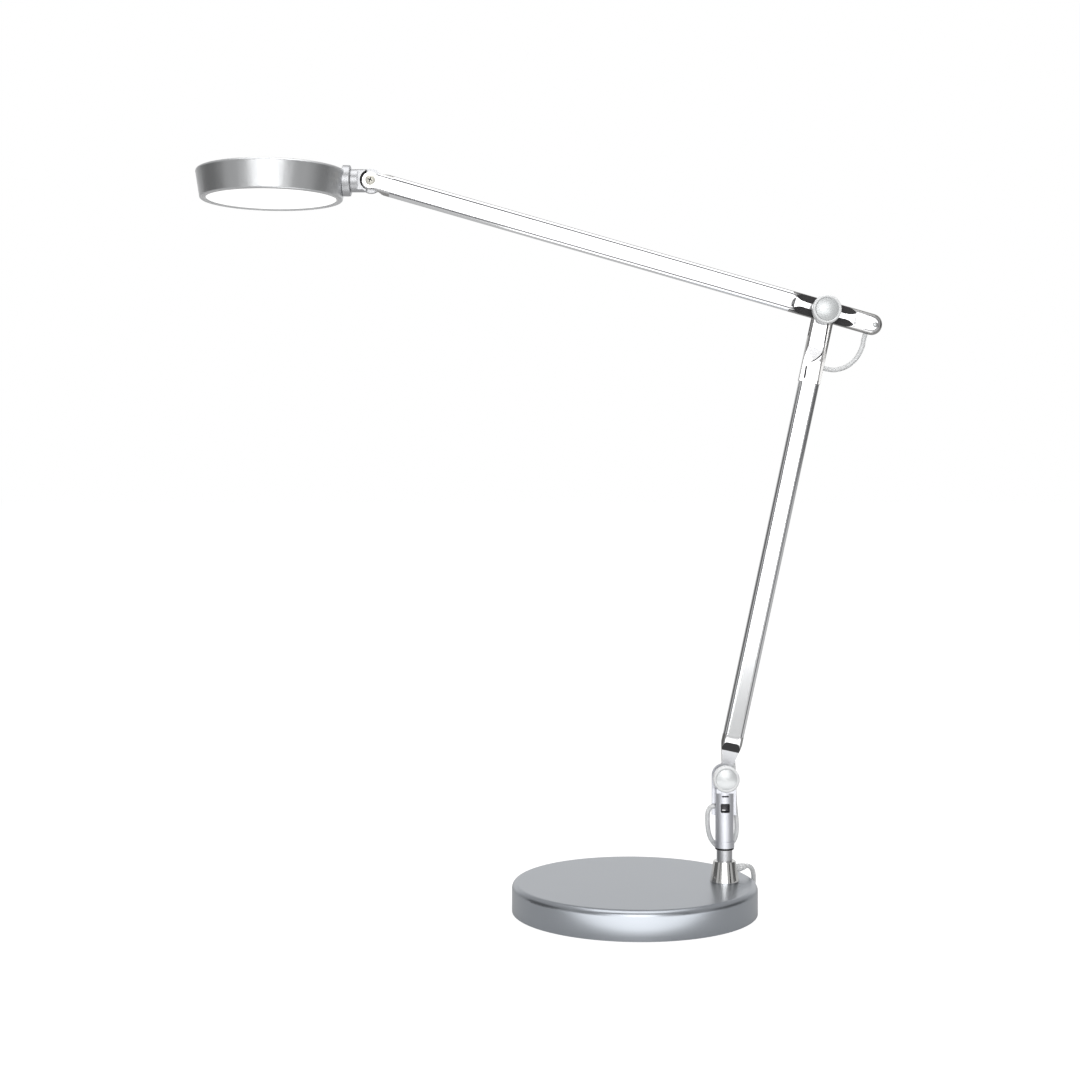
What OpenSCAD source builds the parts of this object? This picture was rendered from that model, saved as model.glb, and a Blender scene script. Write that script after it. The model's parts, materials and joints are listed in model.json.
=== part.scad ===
// Desk lamp: round weighted base, swivel post, two clamped flat-oval arms and a round LED head.
// Millimetres. The origin is the centre of the base's underside, +Z is up and the head is on the -X side.

/* [Base] */
// Diameter of the round base
base_d = 230; // [200:5:260]
// Height of the base above the table
base_h = 27.4; // [24:0.2:34]
// Radius of the rounded top edge
base_edge_r = 5.5; // [2:0.5:8]
// Wall of the pressed cover
cover_wall = 1.5; // [1:0.1:2.5]
// Room between the cover's wall and the cast weight
weight_gap = 10.5; // [5:0.5:20]
// Thickness of the cast weight
weight_t = 14; // [10:0.5:18]
// Thickness of the steel bottom plate
plate_t = 1.2; // [0.8:0.1:2]
// Thickness of the non-slip pad
pad_t = 1.4; // [1:0.1:2.5]

/* [Post] */
// Distance of the post's axis from the base's edge
post_inset = 30.5; // [28:0.5:50]
// Diameter of the foot cone where it stands on the base
cone_d1 = 28; // [24:0.5:34]
// Diameter of the foot cone at its top
cone_d2 = 20.6; // [18:0.2:24]
// Height of the foot cone
cone_h = 19.6; // [14:0.2:26]
// Diameter of the bare neck above the cone
neck_d = 14.6; // [13.4:0.2:16]
// Height of the bare neck
neck_h = 10.6; // [6:0.2:16]
// Diameter of the journal that the sleeve turns on
journal_d = 12; // [10:0.2:12.6]
// Length of the journal
journal_h = 24; // [18:0.5:26]
// Diameter of the lead's bore through the post
post_bore_d = 6; // [5:0.2:7]
// Thickness of the black ring under the sleeve
ring_t = 2; // [1.5:0.1:3]

/* [Sleeve] */
// Outside diameter of the swivel sleeve
sleeve_d = 17; // [16.4:0.1:19]
// Diameter of the sleeve's foot band
sleeve_foot_d = 18.4; // [17.6:0.1:20]
// Height of the tilt pivot above the table
lower_pivot_z = 126; // [124:0.5:136]
// Width of the slot for the arm's tongue
fork_gap = 7; // [6:0.1:8]
// Radius of the sleeve's fork cheeks around the pivot
cheek_r = 9.6; // [9:0.1:11]
// Outside distance across the sleeve's two cheeks
cheek_span = 16.4; // [15:0.2:18]
// Width of the rear guard plate
guard_w = 22.4; // [20:0.2:24]
// Side of the square switch window
window_w = 8.6; // [8:0.1:9.4]
// Height of the switch's centre below the tilt pivot
switch_drop = 28.6; // [28:0.2:31]

/* [Arms] */
// Width of the flat-oval arm tubes
tube_w = 20; // [18:0.5:22]
// Thickness of the flat-oval arm tubes
tube_t = 10; // [9:0.2:11]
// Wall of the arm tubes
tube_wall = 1.2; // [0.8:0.1:1.6]
// Distance of the drawn lines from the tubes' edges
line_inset = 3; // [2:0.1:4]
// Lower arm between its two pivots
lower_len = 447; // [380:1:500]
// Lean of the lower arm from the vertical, in degrees
lower_lean = 12.1; // [5:0.1:20]
// Upper arm between its two pivots
upper_len = 443; // [380:1:500]
// Rise of the upper arm above the horizontal, in degrees
upper_rise = 16; // [0:0.5:30]
// Tail of the upper arm behind the elbow pivot
tail_len = 56; // [50:0.5:64]
// Thickness of the tongues that lie in the forks
tongue_t = 5.4; // [4.8:0.1:5.8]
// Thickness of the friction washers
washer_t = 0.7; // [0.5:0.05:0.75]
// Outside distance across the elbow fork
elbow_span = 14; // [13:0.2:16]
// Lower pivot to the lower tube's end
foot_reach = 39.5; // [36:0.5:44]
// Elbow pivot to the lower tube's end
fork_reach = 69; // [60:1:76]
// Depth of the elbow fork's slot below the pivot
fork_depth = 26; // [24:0.5:30]
// Elbow pivot to the upper tube's end
shoulder_reach = 33; // [30:0.5:38]
// Head hinge to the upper tube's end
tip_reach = 20.5; // [18:0.5:24]

/* [Knobs and bolts] */
// Diameter of the elbow knob
elbow_knob_d = 27; // [25:0.5:30]
// Diameter of the lower knob
lower_knob_d = 24.5; // [23:0.5:27]
// Depth of the knobs along their bolts
knob_h = 11; // [10:0.5:14]
// Diameter of the clamp bolts
bolt_d = 6; // [5:0.5:6.5]
// Diameter of the bolts' domed heads
bolt_head_d = 13; // [12:0.5:14]
// Running clearance on a radius
run = 0.05; // [0.02:0.01:0.08]

/* [Head] */
// Diameter of the head at its top edge
head_d1 = 140.6; // [120:1:160]
// Diameter of the head at its lower edge
head_d2 = 133; // [114:1:150]
// Height of the head
head_h = 27; // [25:0.5:34]
// Head's lower edge below the roll axis
head_drop = 17.8; // [17:0.2:20]
// Wall of the head's housing
head_wall = 1.6; // [1.2:0.1:2.2]
// Width of the bezel ring on the lower face
bezel_w = 4.4; // [3:0.2:6]
// Thickness of the opal diffuser
diffuser_t = 2; // [1.5:0.1:3]
// Diameter of the collar on the head's side
collar_d = 29; // [26:0.5:31]
// Thickness of the collar
collar_t = 7.5; // [6:0.1:9]
// Diameter of the neck between collar and hinge
head_neck_d = 21.4; // [18:0.2:22]
// Radius of the hinge knuckle
knuckle_r = 11.3; // [10.5:0.1:12.5]
// Head hinge to the collar's face
collar_reach = 18.6; // [17:0.1:22]
// LEDs on the outer ring of the board
led_count = 24; // [12:2:36]

/* [Cable] */
// Diameter of the clear lead
lead_d = 4.4; // [4:0.1:4.8]
// Turns in each of the coil's two layers
coil_turns = 4; // [3:1:4]
// Width of the plug's body
plug_w = 26; // [24:1:30]
// Length of the plug's body
plug_len = 34; // [30:1:38]
// Thickness of the plug's body
plug_t = 13; // [11:0.5:13.5]

/* [Hidden] */
$fn = 64;
e = 0.01;
gap = 0.3;            // clearance between curved faces of different bodies

cover_foot_z = 0.5;
post_x = base_d / 2 - post_inset;
cover_in_r = base_d / 2 - cover_wall;
weight_d = 2 * (cover_in_r - weight_gap);
weight_z = pad_t + plate_t;
under_cover_z = base_h - cover_wall;
cone_top_z = base_h + cone_h;
ring_z = cone_top_z + neck_h;
sleeve_z = ring_z + ring_t;
journal_top_z = sleeve_z + journal_h;
clip_t = 1;
switch_z = lower_pivot_z - switch_drop;
switch_depth = 9;
nut_h = 6;

knob_cap_share = 0.78;
bolt_cap_h = 3.4;
washer_gap = (fork_gap - tongue_t) / 2 - washer_t;

elbow_x = post_x + lower_len * sin(lower_lean);
elbow_z = lower_pivot_z + lower_len * cos(lower_lean);
hinge_x = elbow_x - upper_len * cos(upper_rise);
hinge_z = elbow_z + upper_len * sin(upper_rise);

head_r = head_d1 / 2;
head_foot_r = head_d2 / 2;
collar_x = -collar_reach;               // collar's outer face, from the hinge
collar_back_x = collar_x - collar_t;
head_x = collar_back_x + 3.2 - head_r;   // the collar's back sits 3.2 mm inside the housing's edge
head_top = head_h - head_drop;           // housing's top above the roll axis
stub_d = 11.6;
stub_len = 5;
pivot_d = 9;
pivot_len = collar_t + stub_len + 3;

gland_turn = 45;
gland_z = 37;
gland_r = 30.4;       // strain relief's end, from the post's axis
coil_x = 8;
coil_y = base_d / 2 + 43;
coil_pitch = lead_d + 0.47;
coil_mid_r = 6 * lead_d;
coil_steps = 24;
coil_out_r = coil_mid_r + coil_turns * coil_pitch / 2;
plug_x = -41;
plug_y = 126;
boss_ring_r = 0.73 * cover_in_r;
boss_places = [for (a = [-137, -69, 69, 137]) boss_ring_r * [cos(a), sin(a)]];
boss_d = 18;
post_boss_d = 34;
nut_af = 19;
nut_room_r = 12;
screw_r = 2;
screw_len = 8;
strain_r1 = 4.2;
strain_r2 = 2.9;
lead_top_z = switch_z - switch_depth / 2 - 0.4;
gland_in_r = journal_d / 2 + 0.3;
foot_band_h = 6;
clip_room = 0.3;
chamber_d = 13.8;
chamber_top_z = switch_z + switch_depth / 2 + 0.6;
slot_floor_z = lower_pivot_z - cheek_r - 3;
port_y = 3;
dash_w = 6.4;
dash_h = 1.4;
dash_drop = 17.6;
guard_drop = 37;
rocker_w = window_w - 2;
rocker_axis_y = -4;
rocker_pin_r = 0.8;
rocker_tilt = 5;
knob_seat = 0.1;
eye_r = 7.6;
plug_depth = 18;
half_w = tube_w / 2;
half_t = tube_t / 2;
line_r = 0.35;
line_z = half_w - line_inset;
line_y = sqrt(half_t * half_t - pow(max(half_t - line_inset, 0), 2));
tongue_neck = 5.2;
ramp_in = 22;
ramp_out = 29;
tail_screw_r = 2.6;
tail_screw_x = -(tail_len - 7);
lap_y = -0.8;
lap_reach = knuckle_r + 1.4;
tip_eye_r = 7.5;
hinge_screw_r = 2;
cup_depth = 6;
cup_r = 8.5;
rim_from = 118;
rim_to = 248;
washer_r = 7;
hinge_nut_af = 7;
hinge_nut_h = 3;
screw_head_r = 4.7;
screw_head_h = 2;
cross_w = 1;
shell_top = head_top - head_wall;
collar_nut_af = 2 * shell_top - 0.6;
shell_foot = -head_drop;
round_r = 2.5;
board_z = shell_foot + 7;
board_t = 1.6;
sink_t = 1.6;
board_r = head_foot_r - 9;
post_ring_r = 0.7 * board_r;
inner_r = head_foot_r - head_wall;
post_r = 3.6;
post_angles = [60, 180, 300];
chip_w = 3;
chip_t = 0.9;
ring_shares = [0.92, 0.6, 0.28];
bezel_h = 3.6;
ledge = 1.2;
diffuser_z = shell_foot + 1;

// The places that the sub-parts are built in
module at_post() { translate([post_x, 0, 0]) children(); }
module at_lower() { translate([post_x, 0, lower_pivot_z]) children(); }
module along_lower() { at_lower() rotate([0, lower_lean - 90, 0]) children(); }
module at_elbow() { translate([elbow_x, 0, elbow_z]) children(); }
module along_upper() { at_elbow() rotate([0, 180 + upper_rise, 0]) children(); }
module at_hinge() { translate([hinge_x, 0, hinge_z]) children(); }
module along_tip() { at_hinge() rotate([0, upper_rise, 0]) children(); }
module at_head() { at_hinge() translate([head_x, 0, 0]) children(); }

// Cylinder along Y from y0 to y1
module pin_y(r, y0, y1, r2 = -1) {
    translate([0, y0, 0]) rotate([-90, 0, 0]) cylinder(r1 = r, r2 = r2 < 0 ? r : r2, h = y1 - y0);
}
// Cylinder along X from x0 to x1
module pin_x(r, x0, x1, r2 = -1) {
    translate([x0, 0, 0]) rotate([0, 90, 0]) cylinder(r1 = r, r2 = r2 < 0 ? r : r2, h = x1 - x0);
}
// Flat-oval section in the YZ plane run along X
module oval_bar(x0, x1, w, t) {
    translate([x0, 0, 0]) rotate([90, 0, 90]) linear_extrude(x1 - x0) union() {
        square([t, w - t], center = true);
        for (s = [-1, 1]) translate([0, s * (w - t) / 2]) circle(d = t);
    }
}
// Disc with a fully rounded rim, its axis along Y
module oval_disc(r, t) {
    rotate([90, 0, 0]) rotate_extrude() intersection() {
        union() {
            square([2 * (r - t / 2), t], center = true);
            translate([r - t / 2, 0]) circle(d = t);
        }
        translate([0, -t]) square([r + t, 2 * t]);
    }
}
// Half width of a bottle outline that swells from a to b over the run from x0 to x1
function swell(x, x0, x1, a, b) =
    a + (b - a) * (1 - cos(180 * min(max((x - x0) / (x1 - x0), 0), 1))) / 2;
// Bottle outline: neck at x0, shoulder to x1, body to x2
module bottle(x0, x1, x2, a, b, y0, y1, steps = 10) {
    xs = concat([for (i = [0:steps]) x0 + (x1 - x0) * i / steps], x2 > x1 ? [x2] : []);
    top = [for (x = xs) [x, swell(x, x0, x1, a, b)]];
    low = [for (i = [len(xs) - 1:-1:0]) [xs[i], -swell(xs[i], x0, x1, a, b)]];
    translate([0, y1, 0]) rotate([90, 0, 0]) linear_extrude(y1 - y0) polygon(concat(top, low));
}
module hex(af, h) { cylinder(d = af / cos(30), h = h, $fn = 6); }

// Tube swept along points, as one closed polyhedron
function unit(v) = v / norm(v);
function rings(pts) = [for (i = [0:len(pts) - 1])
    unit(pts[min(i + 1, len(pts) - 1)] - pts[max(i - 1, 0)])];
function carried(t, i, u) = i == len(t) ? [] :
    let (v = unit(u - (u * t[i]) * t[i])) concat([v], carried(t, i + 1, v));
module sweep(pts, d, sides, start_u = [0, 1, 0]) {
    t = rings(pts);
    u = carried(t, 0, start_u);
    n = len(pts);
    skin = [for (i = [0:n - 1]) for (k = [0:sides - 1])
        pts[i] + d / 2 * (cos(360 * k / sides) * u[i] + sin(360 * k / sides) * cross(t[i], u[i]))];
    walls = [for (i = [0:n - 2]) for (k = [0:sides - 1])
        let (a = i * sides + k, b = i * sides + (k + 1) % sides)
        each [[a, a + sides, b], [b, a + sides, b + sides]]];
    first = [for (k = [1:sides - 2]) [0, k, k + 1]];
    end = (n - 1) * sides;
    last = [for (k = [1:sides - 2]) [end, end + k + 1, end + k]];
    polyhedron(points = skin, faces = concat(walls, first, last));
}
// Lead: it leaves the cone at the rear right, goes over the base's rim and is wound up behind the base
cord_route = [
    [106, 21.5, 37], [110, 25.6, 36.4], [113.6, 30.6, 33], [116, 36.4, 27], [117, 42, 20], [117, 47.6, 13],
    [115.6, 54, 7], [112.6, 62, 3.4], [108, 70.6, 2.2], [100, 82, 2.2], [88.6, 94, 2.2], [75, 104.4, 2.2],
    [60, 112.6, 2.2], [44, 118.6, 2.2], [28, 121.6, 2.2], [12.4, 121.9, 2.2]];
end_route = [
    [3.6, 121.9, 7.1], [-4, 121.8, 7], [-12, 121.8, 5.6], [-20, 122.6, 3.2], [-28, 124.6, 2.8],
    [-34, 125.8, 4.8], [-39.2, 126, 6.4], [-41, 126, 6.5]];

// Base
module base_outline(r, z0, z1, edge) {
    translate([0, z0]) square([r, z1 - z0 - edge]);
    translate([0, z0]) square([r - edge, z1 - z0]);
    translate([r - edge, z1 - edge]) circle(edge);
}
module post_hole(r, z0, z1) { at_post() translate([0, 0, z0]) cylinder(r = r, h = z1 - z0); }
module base_cover() {
    color("silver") difference() {
        rotate_extrude($fn = 128) difference() {
            base_outline(base_d / 2, cover_foot_z, base_h, base_edge_r);
            translate([-1, 0]) square([1, base_h]);
            base_outline(cover_in_r, 0, under_cover_z, max(base_edge_r - cover_wall, 0.5));
        }
        post_hole(journal_d / 2 + run, under_cover_z - 1, base_h + 1);
    }
}
module base_weight() {
    color("dimgray") difference() {
        union() {
            translate([0, 0, weight_z]) cylinder(d = weight_d, h = weight_t);
            at_post() intersection() {
                translate([0, 0, weight_z]) cylinder(d = post_boss_d, h = under_cover_z - weight_z);
                translate([-post_x, 0, 0]) cylinder(d = weight_d, h = under_cover_z);
            }
            for (p = boss_places)
                translate([p.x, p.y, weight_z]) cylinder(d = boss_d, h = under_cover_z - weight_z);
        }
        post_hole(journal_d / 2 + run, weight_z - 1, base_h);
        post_hole(nut_room_r, weight_z - 1, weight_z + nut_h + 1);
        for (p = boss_places) translate([p.x, p.y, weight_z - 1]) cylinder(r = screw_r, h = screw_len + 1);
    }
}
module base_plate() {
    color("gray") difference() {
        translate([0, 0, pad_t]) cylinder(r = cover_in_r - 0.2, h = plate_t);
        for (p = boss_places)
            translate([p.x, p.y, pad_t - e]) cylinder(r1 = screw_r * 1.8, r2 = screw_r, h = plate_t + 2 * e);
    }
}
module plate_screws() {
    color("gray") for (p = boss_places) translate([p.x, p.y, pad_t]) {
        cylinder(r1 = screw_r * 1.8 - 0.1, r2 = screw_r - 0.1, h = plate_t);
        cylinder(r = screw_r - 0.1, h = screw_len);
    }
}
module base_pad() { color([0.1, 0.1, 0.1]) cylinder(r = cover_in_r - 1, h = pad_t); }

// Post
module gland_axis() { at_post() translate([0, 0, gland_z]) rotate([0, 0, gland_turn]) children(); }
module post_cone() {
    color("gainsboro") difference() {
        at_post() translate([0, 0, base_h]) union() {
            cylinder(d = cone_d1, h = 1.2);
            translate([0, 0, 1.2]) cylinder(d1 = cone_d1, d2 = cone_d2, h = cone_h - 1.2);
        }
        post_hole(journal_d / 2 + run, base_h - 1, cone_top_z + 1);
        gland_axis() pin_x(strain_r1, 0, cone_d1);
    }
}
module post_spindle() {
    bottom_z = weight_z + 1;
    color("silver") difference() {
        union() {
            post_hole(journal_d / 2, bottom_z, journal_top_z);
            post_hole(neck_d / 2, cone_top_z, ring_z);
        }
        post_hole(post_bore_d / 2, bottom_z - 1, journal_top_z + 1);
        gland_axis() pin_x(post_bore_d / 2, 0, cone_d1);
        at_post() translate([0, 0, journal_top_z - 2 * clip_t - 0.1]) difference() {
            cylinder(d = journal_d + 2, h = clip_t + 0.1);
            translate([0, 0, -1]) cylinder(d = journal_d - 1.6, h = clip_t + 2);
        }
    }
}
module post_nut() {
    color("darkgray") difference() {
        at_post() translate([0, 0, weight_z + 1]) hex(nut_af, nut_h);
        post_hole(journal_d / 2 + run, weight_z, weight_z + nut_h + 2);
    }
}
module thrust_ring() {
    color([0.05, 0.05, 0.05]) difference() {
        at_post() translate([0, 0, ring_z]) rotate_extrude() translate([0, ring_t / 2]) union() {
            square([sleeve_d / 2 - ring_t / 2 + 0.3, ring_t / 2]);
            mirror([0, 1]) square([sleeve_d / 2 - ring_t / 2 + 0.3, ring_t / 2]);
            translate([sleeve_d / 2 - ring_t / 2 + 0.3, 0]) circle(ring_t / 2);
        }
        post_hole(journal_d / 2 + run, ring_z - 1, sleeve_z + 1);
    }
}
module spindle_clip() {
    color("gray") at_post() translate([0, 0, journal_top_z - 2 * clip_t]) difference() {
        cylinder(d = journal_d + 1.2, h = clip_t - 0.1);
        translate([0, 0, -1]) cylinder(d = journal_d - 1.6, h = clip_t + 2);
        translate([0, -1.5, -1]) cube([journal_d, 3, clip_t + 2]);
    }
}
module inner_lead() {
    color("whitesmoke") union() {
        gland_axis() pin_x(lead_d / 2 - 0.2, 0, gland_in_r);
        post_hole(lead_d / 2, gland_z - lead_d / 2 - 0.4, lead_top_z);
    }
}
module strain_relief() {
    color("whitesmoke") gland_axis() union() {
        pin_x(strain_r1 - 0.05, gland_in_r, cone_d1 / 2 + 1);
        pin_x(strain_r1 + 0.8, cone_d1 / 2 - 0.6, cone_d1 / 2 + 1.2);
        pin_x(strain_r1 - 0.05, cone_d1 / 2 + 1, gland_r, strain_r2);
    }
}

// Lead
module mains_cord() { color("whitesmoke") sweep(cord_route, lead_d, 10, [0, 0, 1]); }
module cord_end() { color("whitesmoke") sweep(end_route, lead_d, 10, [0, 0, 1]); }
// Point of the coil's centreline after t turns: in along the lower layer, then out along the upper one
function coil_point(t) =
    let (back = abs(t - coil_turns), r = coil_out_r - coil_pitch * (coil_turns - back),
         climb = min(max((t - coil_turns) * 2 + 0.5, 0), 1), a = -90 - 360 * t)
    [coil_x + r * cos(a), coil_y + r * sin(a), lead_d / 2 + climb * coil_pitch];
coil_line = concat([[coil_x + lead_d, coil_y - coil_out_r, lead_d / 2]],
    [for (i = [0:2 * coil_turns * coil_steps]) coil_point(i / coil_steps)],
    [[coil_x - lead_d, coil_y - coil_out_r, lead_d / 2 + coil_pitch]]);
module cord_coil() { color("whitesmoke") sweep(coil_line, lead_d, 6, [0, 0, 1]); }
echo(coil_gap = min([for (i = [0:3:len(coil_line) - 1], j = [i + 12:len(coil_line) - 1])
    norm(coil_line[i] - coil_line[j])]) - lead_d);
echo(coil_length = coil_mid_r * 2 * PI * 2 * coil_turns);

module plug_body() {
    tail = 8;
    shoulder = 15;
    color("whitesmoke") translate([plug_x, plug_y, plug_t / 2]) mirror([1, 0, 0]) union() {
        intersection() {
            translate([tail, 0, 0]) rotate([90, 0, 90]) linear_extrude(plug_len - tail)
                soft_square(plug_w, plug_t, 3);
            translate([0, 0, -plug_t]) linear_extrude(2 * plug_t) polygon([[tail, -plug_w * 0.26],
                [shoulder, -plug_w / 2], [plug_len, -plug_w / 2], [plug_len, plug_w / 2],
                [shoulder, plug_w / 2], [tail, plug_w * 0.26]]);
        }
        pin_x(lead_d / 2 + 0.6, 0, tail + e, lead_d / 2 + 2.4);
    }
}
module plug_pins() {
    color("silver") for (s = [-1, 1])
        translate([plug_x - plug_len - 18, plug_y + s * 9.3, plug_t / 2]) rotate([0, 90, 0]) union() {
            translate([0, 0, 2]) cylinder(d = 4, h = 16);
            cylinder(d1 = 2, d2 = 4, h = 2);
        }
}

// Swivel sleeve with its fork, guard plate and switch
module soft_square(w, h, r) {
    square([w - 2 * r, h], center = true);
    square([w, h - 2 * r], center = true);
    for (x = [-1, 1], y = [-1, 1]) translate([x * (w / 2 - r), y * (h / 2 - r)]) circle(r, $fn = 32);
}
module window(w, h, r, y0, y1) {
    translate([0, y1, 0]) rotate([90, 0, 0]) linear_extrude(y1 - y0) soft_square(w, h, r);
}
module swivel_sleeve() {
    half = cheek_span / 2;
    color("silver") difference() {
        union() {
            post_hole(sleeve_d / 2, sleeve_z, lower_pivot_z - cheek_r);
            post_hole(sleeve_foot_d / 2, sleeve_z, sleeve_z + foot_band_h);
            at_lower() {
                pin_y(cheek_r, -half, half);
                translate([-sleeve_d / 2 + 0.4, -half, -cheek_r - 5])
                    cube([sleeve_d - 0.8, 2 * half, cheek_r + 5]);
                pin_y(guard_w / 2, fork_gap / 2 + e, half);
                translate([-guard_w / 2, fork_gap / 2 + e, -guard_drop])
                    cube([guard_w, half - fork_gap / 2 - e, guard_drop]);
            }
        }
        at_lower() {
            translate([-guard_w, -fork_gap / 2, slot_floor_z - lower_pivot_z])
                cube([2 * guard_w, fork_gap, 2 * guard_w]);
            pin_y(bolt_d / 2 + run, -half - 1, half + 1);
            translate([0, 0, -switch_drop]) window(window_w, window_w, 1.4, -sleeve_d, 0);
            translate([0, 0, -dash_drop]) window(dash_w, dash_h, dash_h / 2 - e, -sleeve_d, -half + 1);
            translate([0, port_y, -switch_drop]) pin_x(lead_d / 2 + 0.2, -guard_w, 0);
        }
        post_hole(journal_d / 2 + run, sleeve_z - 1, journal_top_z);
        post_hole(chamber_d / 2, journal_top_z - 2 * clip_t - clip_room, chamber_top_z);
    }
}
module at_switch() { at_lower() translate([0, 0, -switch_drop]) children(); }
module switch_frame() {
    color([0.08, 0.08, 0.08]) at_switch() difference() {
        window(window_w - 0.1, window_w - 0.1, 1.3, -sleeve_d / 2 + 0.3, 0.4);
        window(rocker_w + 0.4, rocker_w + 0.4, 0.3, -sleeve_d, -1.6);
        translate([0, rocker_axis_y, 0]) pin_x(rocker_pin_r + run, -rocker_w / 2 - 0.7, rocker_w / 2 + 0.7);
    }
}
module switch_rocker() {
    h = rocker_w / 2 - 0.4;
    color([0.12, 0.12, 0.12]) at_switch() translate([0, rocker_axis_y, 0])
    rotate([-rocker_tilt, 0, 0]) union() {
        translate([-rocker_w / 2, 0, 0]) rotate([90, 0, 90]) linear_extrude(rocker_w)
            polygon([[1.6, -h * 0.7], [-3.7, -h], [-2.9, 0], [-3.7, h], [1.6, h * 0.7]]);
        pin_x(rocker_pin_r, -rocker_w / 2 - 0.6, rocker_w / 2 + 0.6);
    }
}

// Clamp bolts, friction washers and knobs
module dome(r, h) {
    big = (r * r + h * h) / (2 * h);
    rotate_extrude() intersection() {
        translate([0, h - big]) circle(big, $fn = 360);
        square([r + 1, h + 1]);
    }
}
module clamp_bolt(span) {
    union() {
        pin_y(bolt_d / 2, -span / 2 - knob_h + 3, span / 2 + e);
        translate([0, span / 2, 0]) rotate([-90, 0, 0]) union() {
            cylinder(d = bolt_head_d, h = 0.8);
            translate([0, 0, 0.8]) dome(bolt_head_d / 2, bolt_cap_h - 0.8);
        }
    }
}
module friction_washers(r) {
    for (y = [-tongue_t / 2 - washer_gap / 2 - washer_t, tongue_t / 2 + washer_gap / 2]) difference() {
        pin_y(r, y, y + washer_t);
        pin_y(bolt_d / 2 + run, y - 1, y + washer_t + 1);
    }
}
module knob_frame(span) { translate([0, -span / 2 - knob_seat, 0]) rotate([90, 0, 0]) children(); }
module knob_body(d) {
    r = d / 2;
    lip = 1.5;
    difference() {
        rotate_extrude() union() {
            square([r * 0.62, knob_h - 1.2]);
            translate([0, 2.4]) square([r - lip, knob_h - 2.4 - lip]);
            translate([0, 2.4 + lip]) square([r, knob_h - 2.4 - 2 * lip]);
            translate([r - lip, 2.4 + lip]) circle(lip, $fn = 32);
            translate([r - lip, knob_h - lip]) circle(lip, $fn = 32);
        }
        translate([0, 0, knob_h - 1.2]) cylinder(r = r * knob_cap_share, h = 3);
        translate([0, 0, -1]) cylinder(r = bolt_d / 2 + run, h = knob_h - 2);
    }
}
module knob_cap(d) {
    r = d / 2 * knob_cap_share - 0.1;
    translate([0, 0, knob_h - 1.2]) union() {
        cylinder(r = r, h = 0.8);
        translate([0, 0, 0.8]) dome(r, 1.7);
    }
}
module lower_bolt() { color("silver") at_lower() clamp_bolt(cheek_span); }
module lower_washers() { color("black") at_lower() friction_washers(eye_r); }
module lower_knob() { color("whitesmoke") at_lower() knob_frame(cheek_span) knob_body(lower_knob_d); }
module lower_knob_cap() { color("gainsboro") at_lower() knob_frame(cheek_span) knob_cap(lower_knob_d); }
module elbow_bolt() { color("silver") at_elbow() clamp_bolt(elbow_span); }
module elbow_washers() { color("black") at_elbow() friction_washers(tube_w / 2 - 1); }
module elbow_knob() { color("whitesmoke") at_elbow() knob_frame(elbow_span) knob_body(elbow_knob_d); }
module elbow_knob_cap() { color("gainsboro") at_elbow() knob_frame(elbow_span) knob_cap(elbow_knob_d); }

// Arms
// Solid whose thickness along Y follows [x, half thickness] pairs
module thick_profile(pairs, reach) {
    n = len(pairs);
    rim = concat(pairs, [for (i = [n - 1:-1:0]) [pairs[i].x, -pairs[i].y]]);
    translate([0, 0, -reach]) linear_extrude(2 * reach) polygon(rim);
}
module flat_outline(points, y0, y1) {
    translate([0, y1, 0]) rotate([90, 0, 0]) linear_extrude(y1 - y0) polygon(points);
}
module arm_tube(x0, x1) {
    difference() {
        oval_bar(x0, x1, tube_w, tube_t);
        oval_bar(x0 - 1, x1 + 1, tube_w - 2 * tube_wall, tube_t - 2 * tube_wall);
        for (y = [-line_y, line_y], z = [-line_z, line_z]) translate([0, y, z]) pin_x(line_r, x0 - 1, x1 + 1);
    }
}
module tube_plug(x0, x1) { oval_bar(x0, x1, tube_w - 2 * tube_wall - 0.1, tube_t - 2 * tube_wall - 0.1); }
module lower_foot() {
    root = foot_reach - 7;
    color("silver") along_lower() difference() {
        union() {
            pin_y(eye_r, -tongue_t / 2, tongue_t / 2);
            intersection() {
                oval_bar(0, foot_reach, tube_w, tube_t);
                flat_outline([[0, -tongue_neck - 1], [12, -tongue_neck], [root, -half_w],
                    [foot_reach, -half_w], [foot_reach, half_w], [root, half_w], [12, tongue_neck],
                    [0, tongue_neck + 1]], -half_t, half_t);
                thick_profile([[0, tongue_t / 2], [root - 8, tongue_t / 2], [root, half_t],
                    [foot_reach, half_t]], tube_w);
            }
            tube_plug(foot_reach - 1, foot_reach + plug_depth);
        }
        pin_y(bolt_d / 2 + run, -tube_t, tube_t);
    }
}
module lower_tube() { color("whitesmoke") along_lower() arm_tube(foot_reach, lower_len - fork_reach); }
module along_fork() { at_elbow() rotate([0, 90 + lower_lean, 0]) children(); }
module lower_fork() {
    half = elbow_span / 2;
    flare = fork_depth + 8;
    color("silver") along_fork() difference() {
        union() {
            pin_y(half_w, -half, half);
            intersection() {
                rotate([90, 0, 90]) linear_extrude(fork_reach)
                    soft_square(elbow_span, tube_w, 3);
                thick_profile([[0, half], [flare, half], [flare + 14, half_t], [fork_reach, half_t]], tube_w);
            }
            tube_plug(fork_reach - 1, fork_reach + plug_depth);
        }
        translate([-tube_w, -fork_gap / 2, -tube_w]) cube([tube_w + fork_depth, fork_gap, 2 * tube_w]);
        pin_y(bolt_d / 2 + run, -half - 1, half + 1);
    }
}
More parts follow.
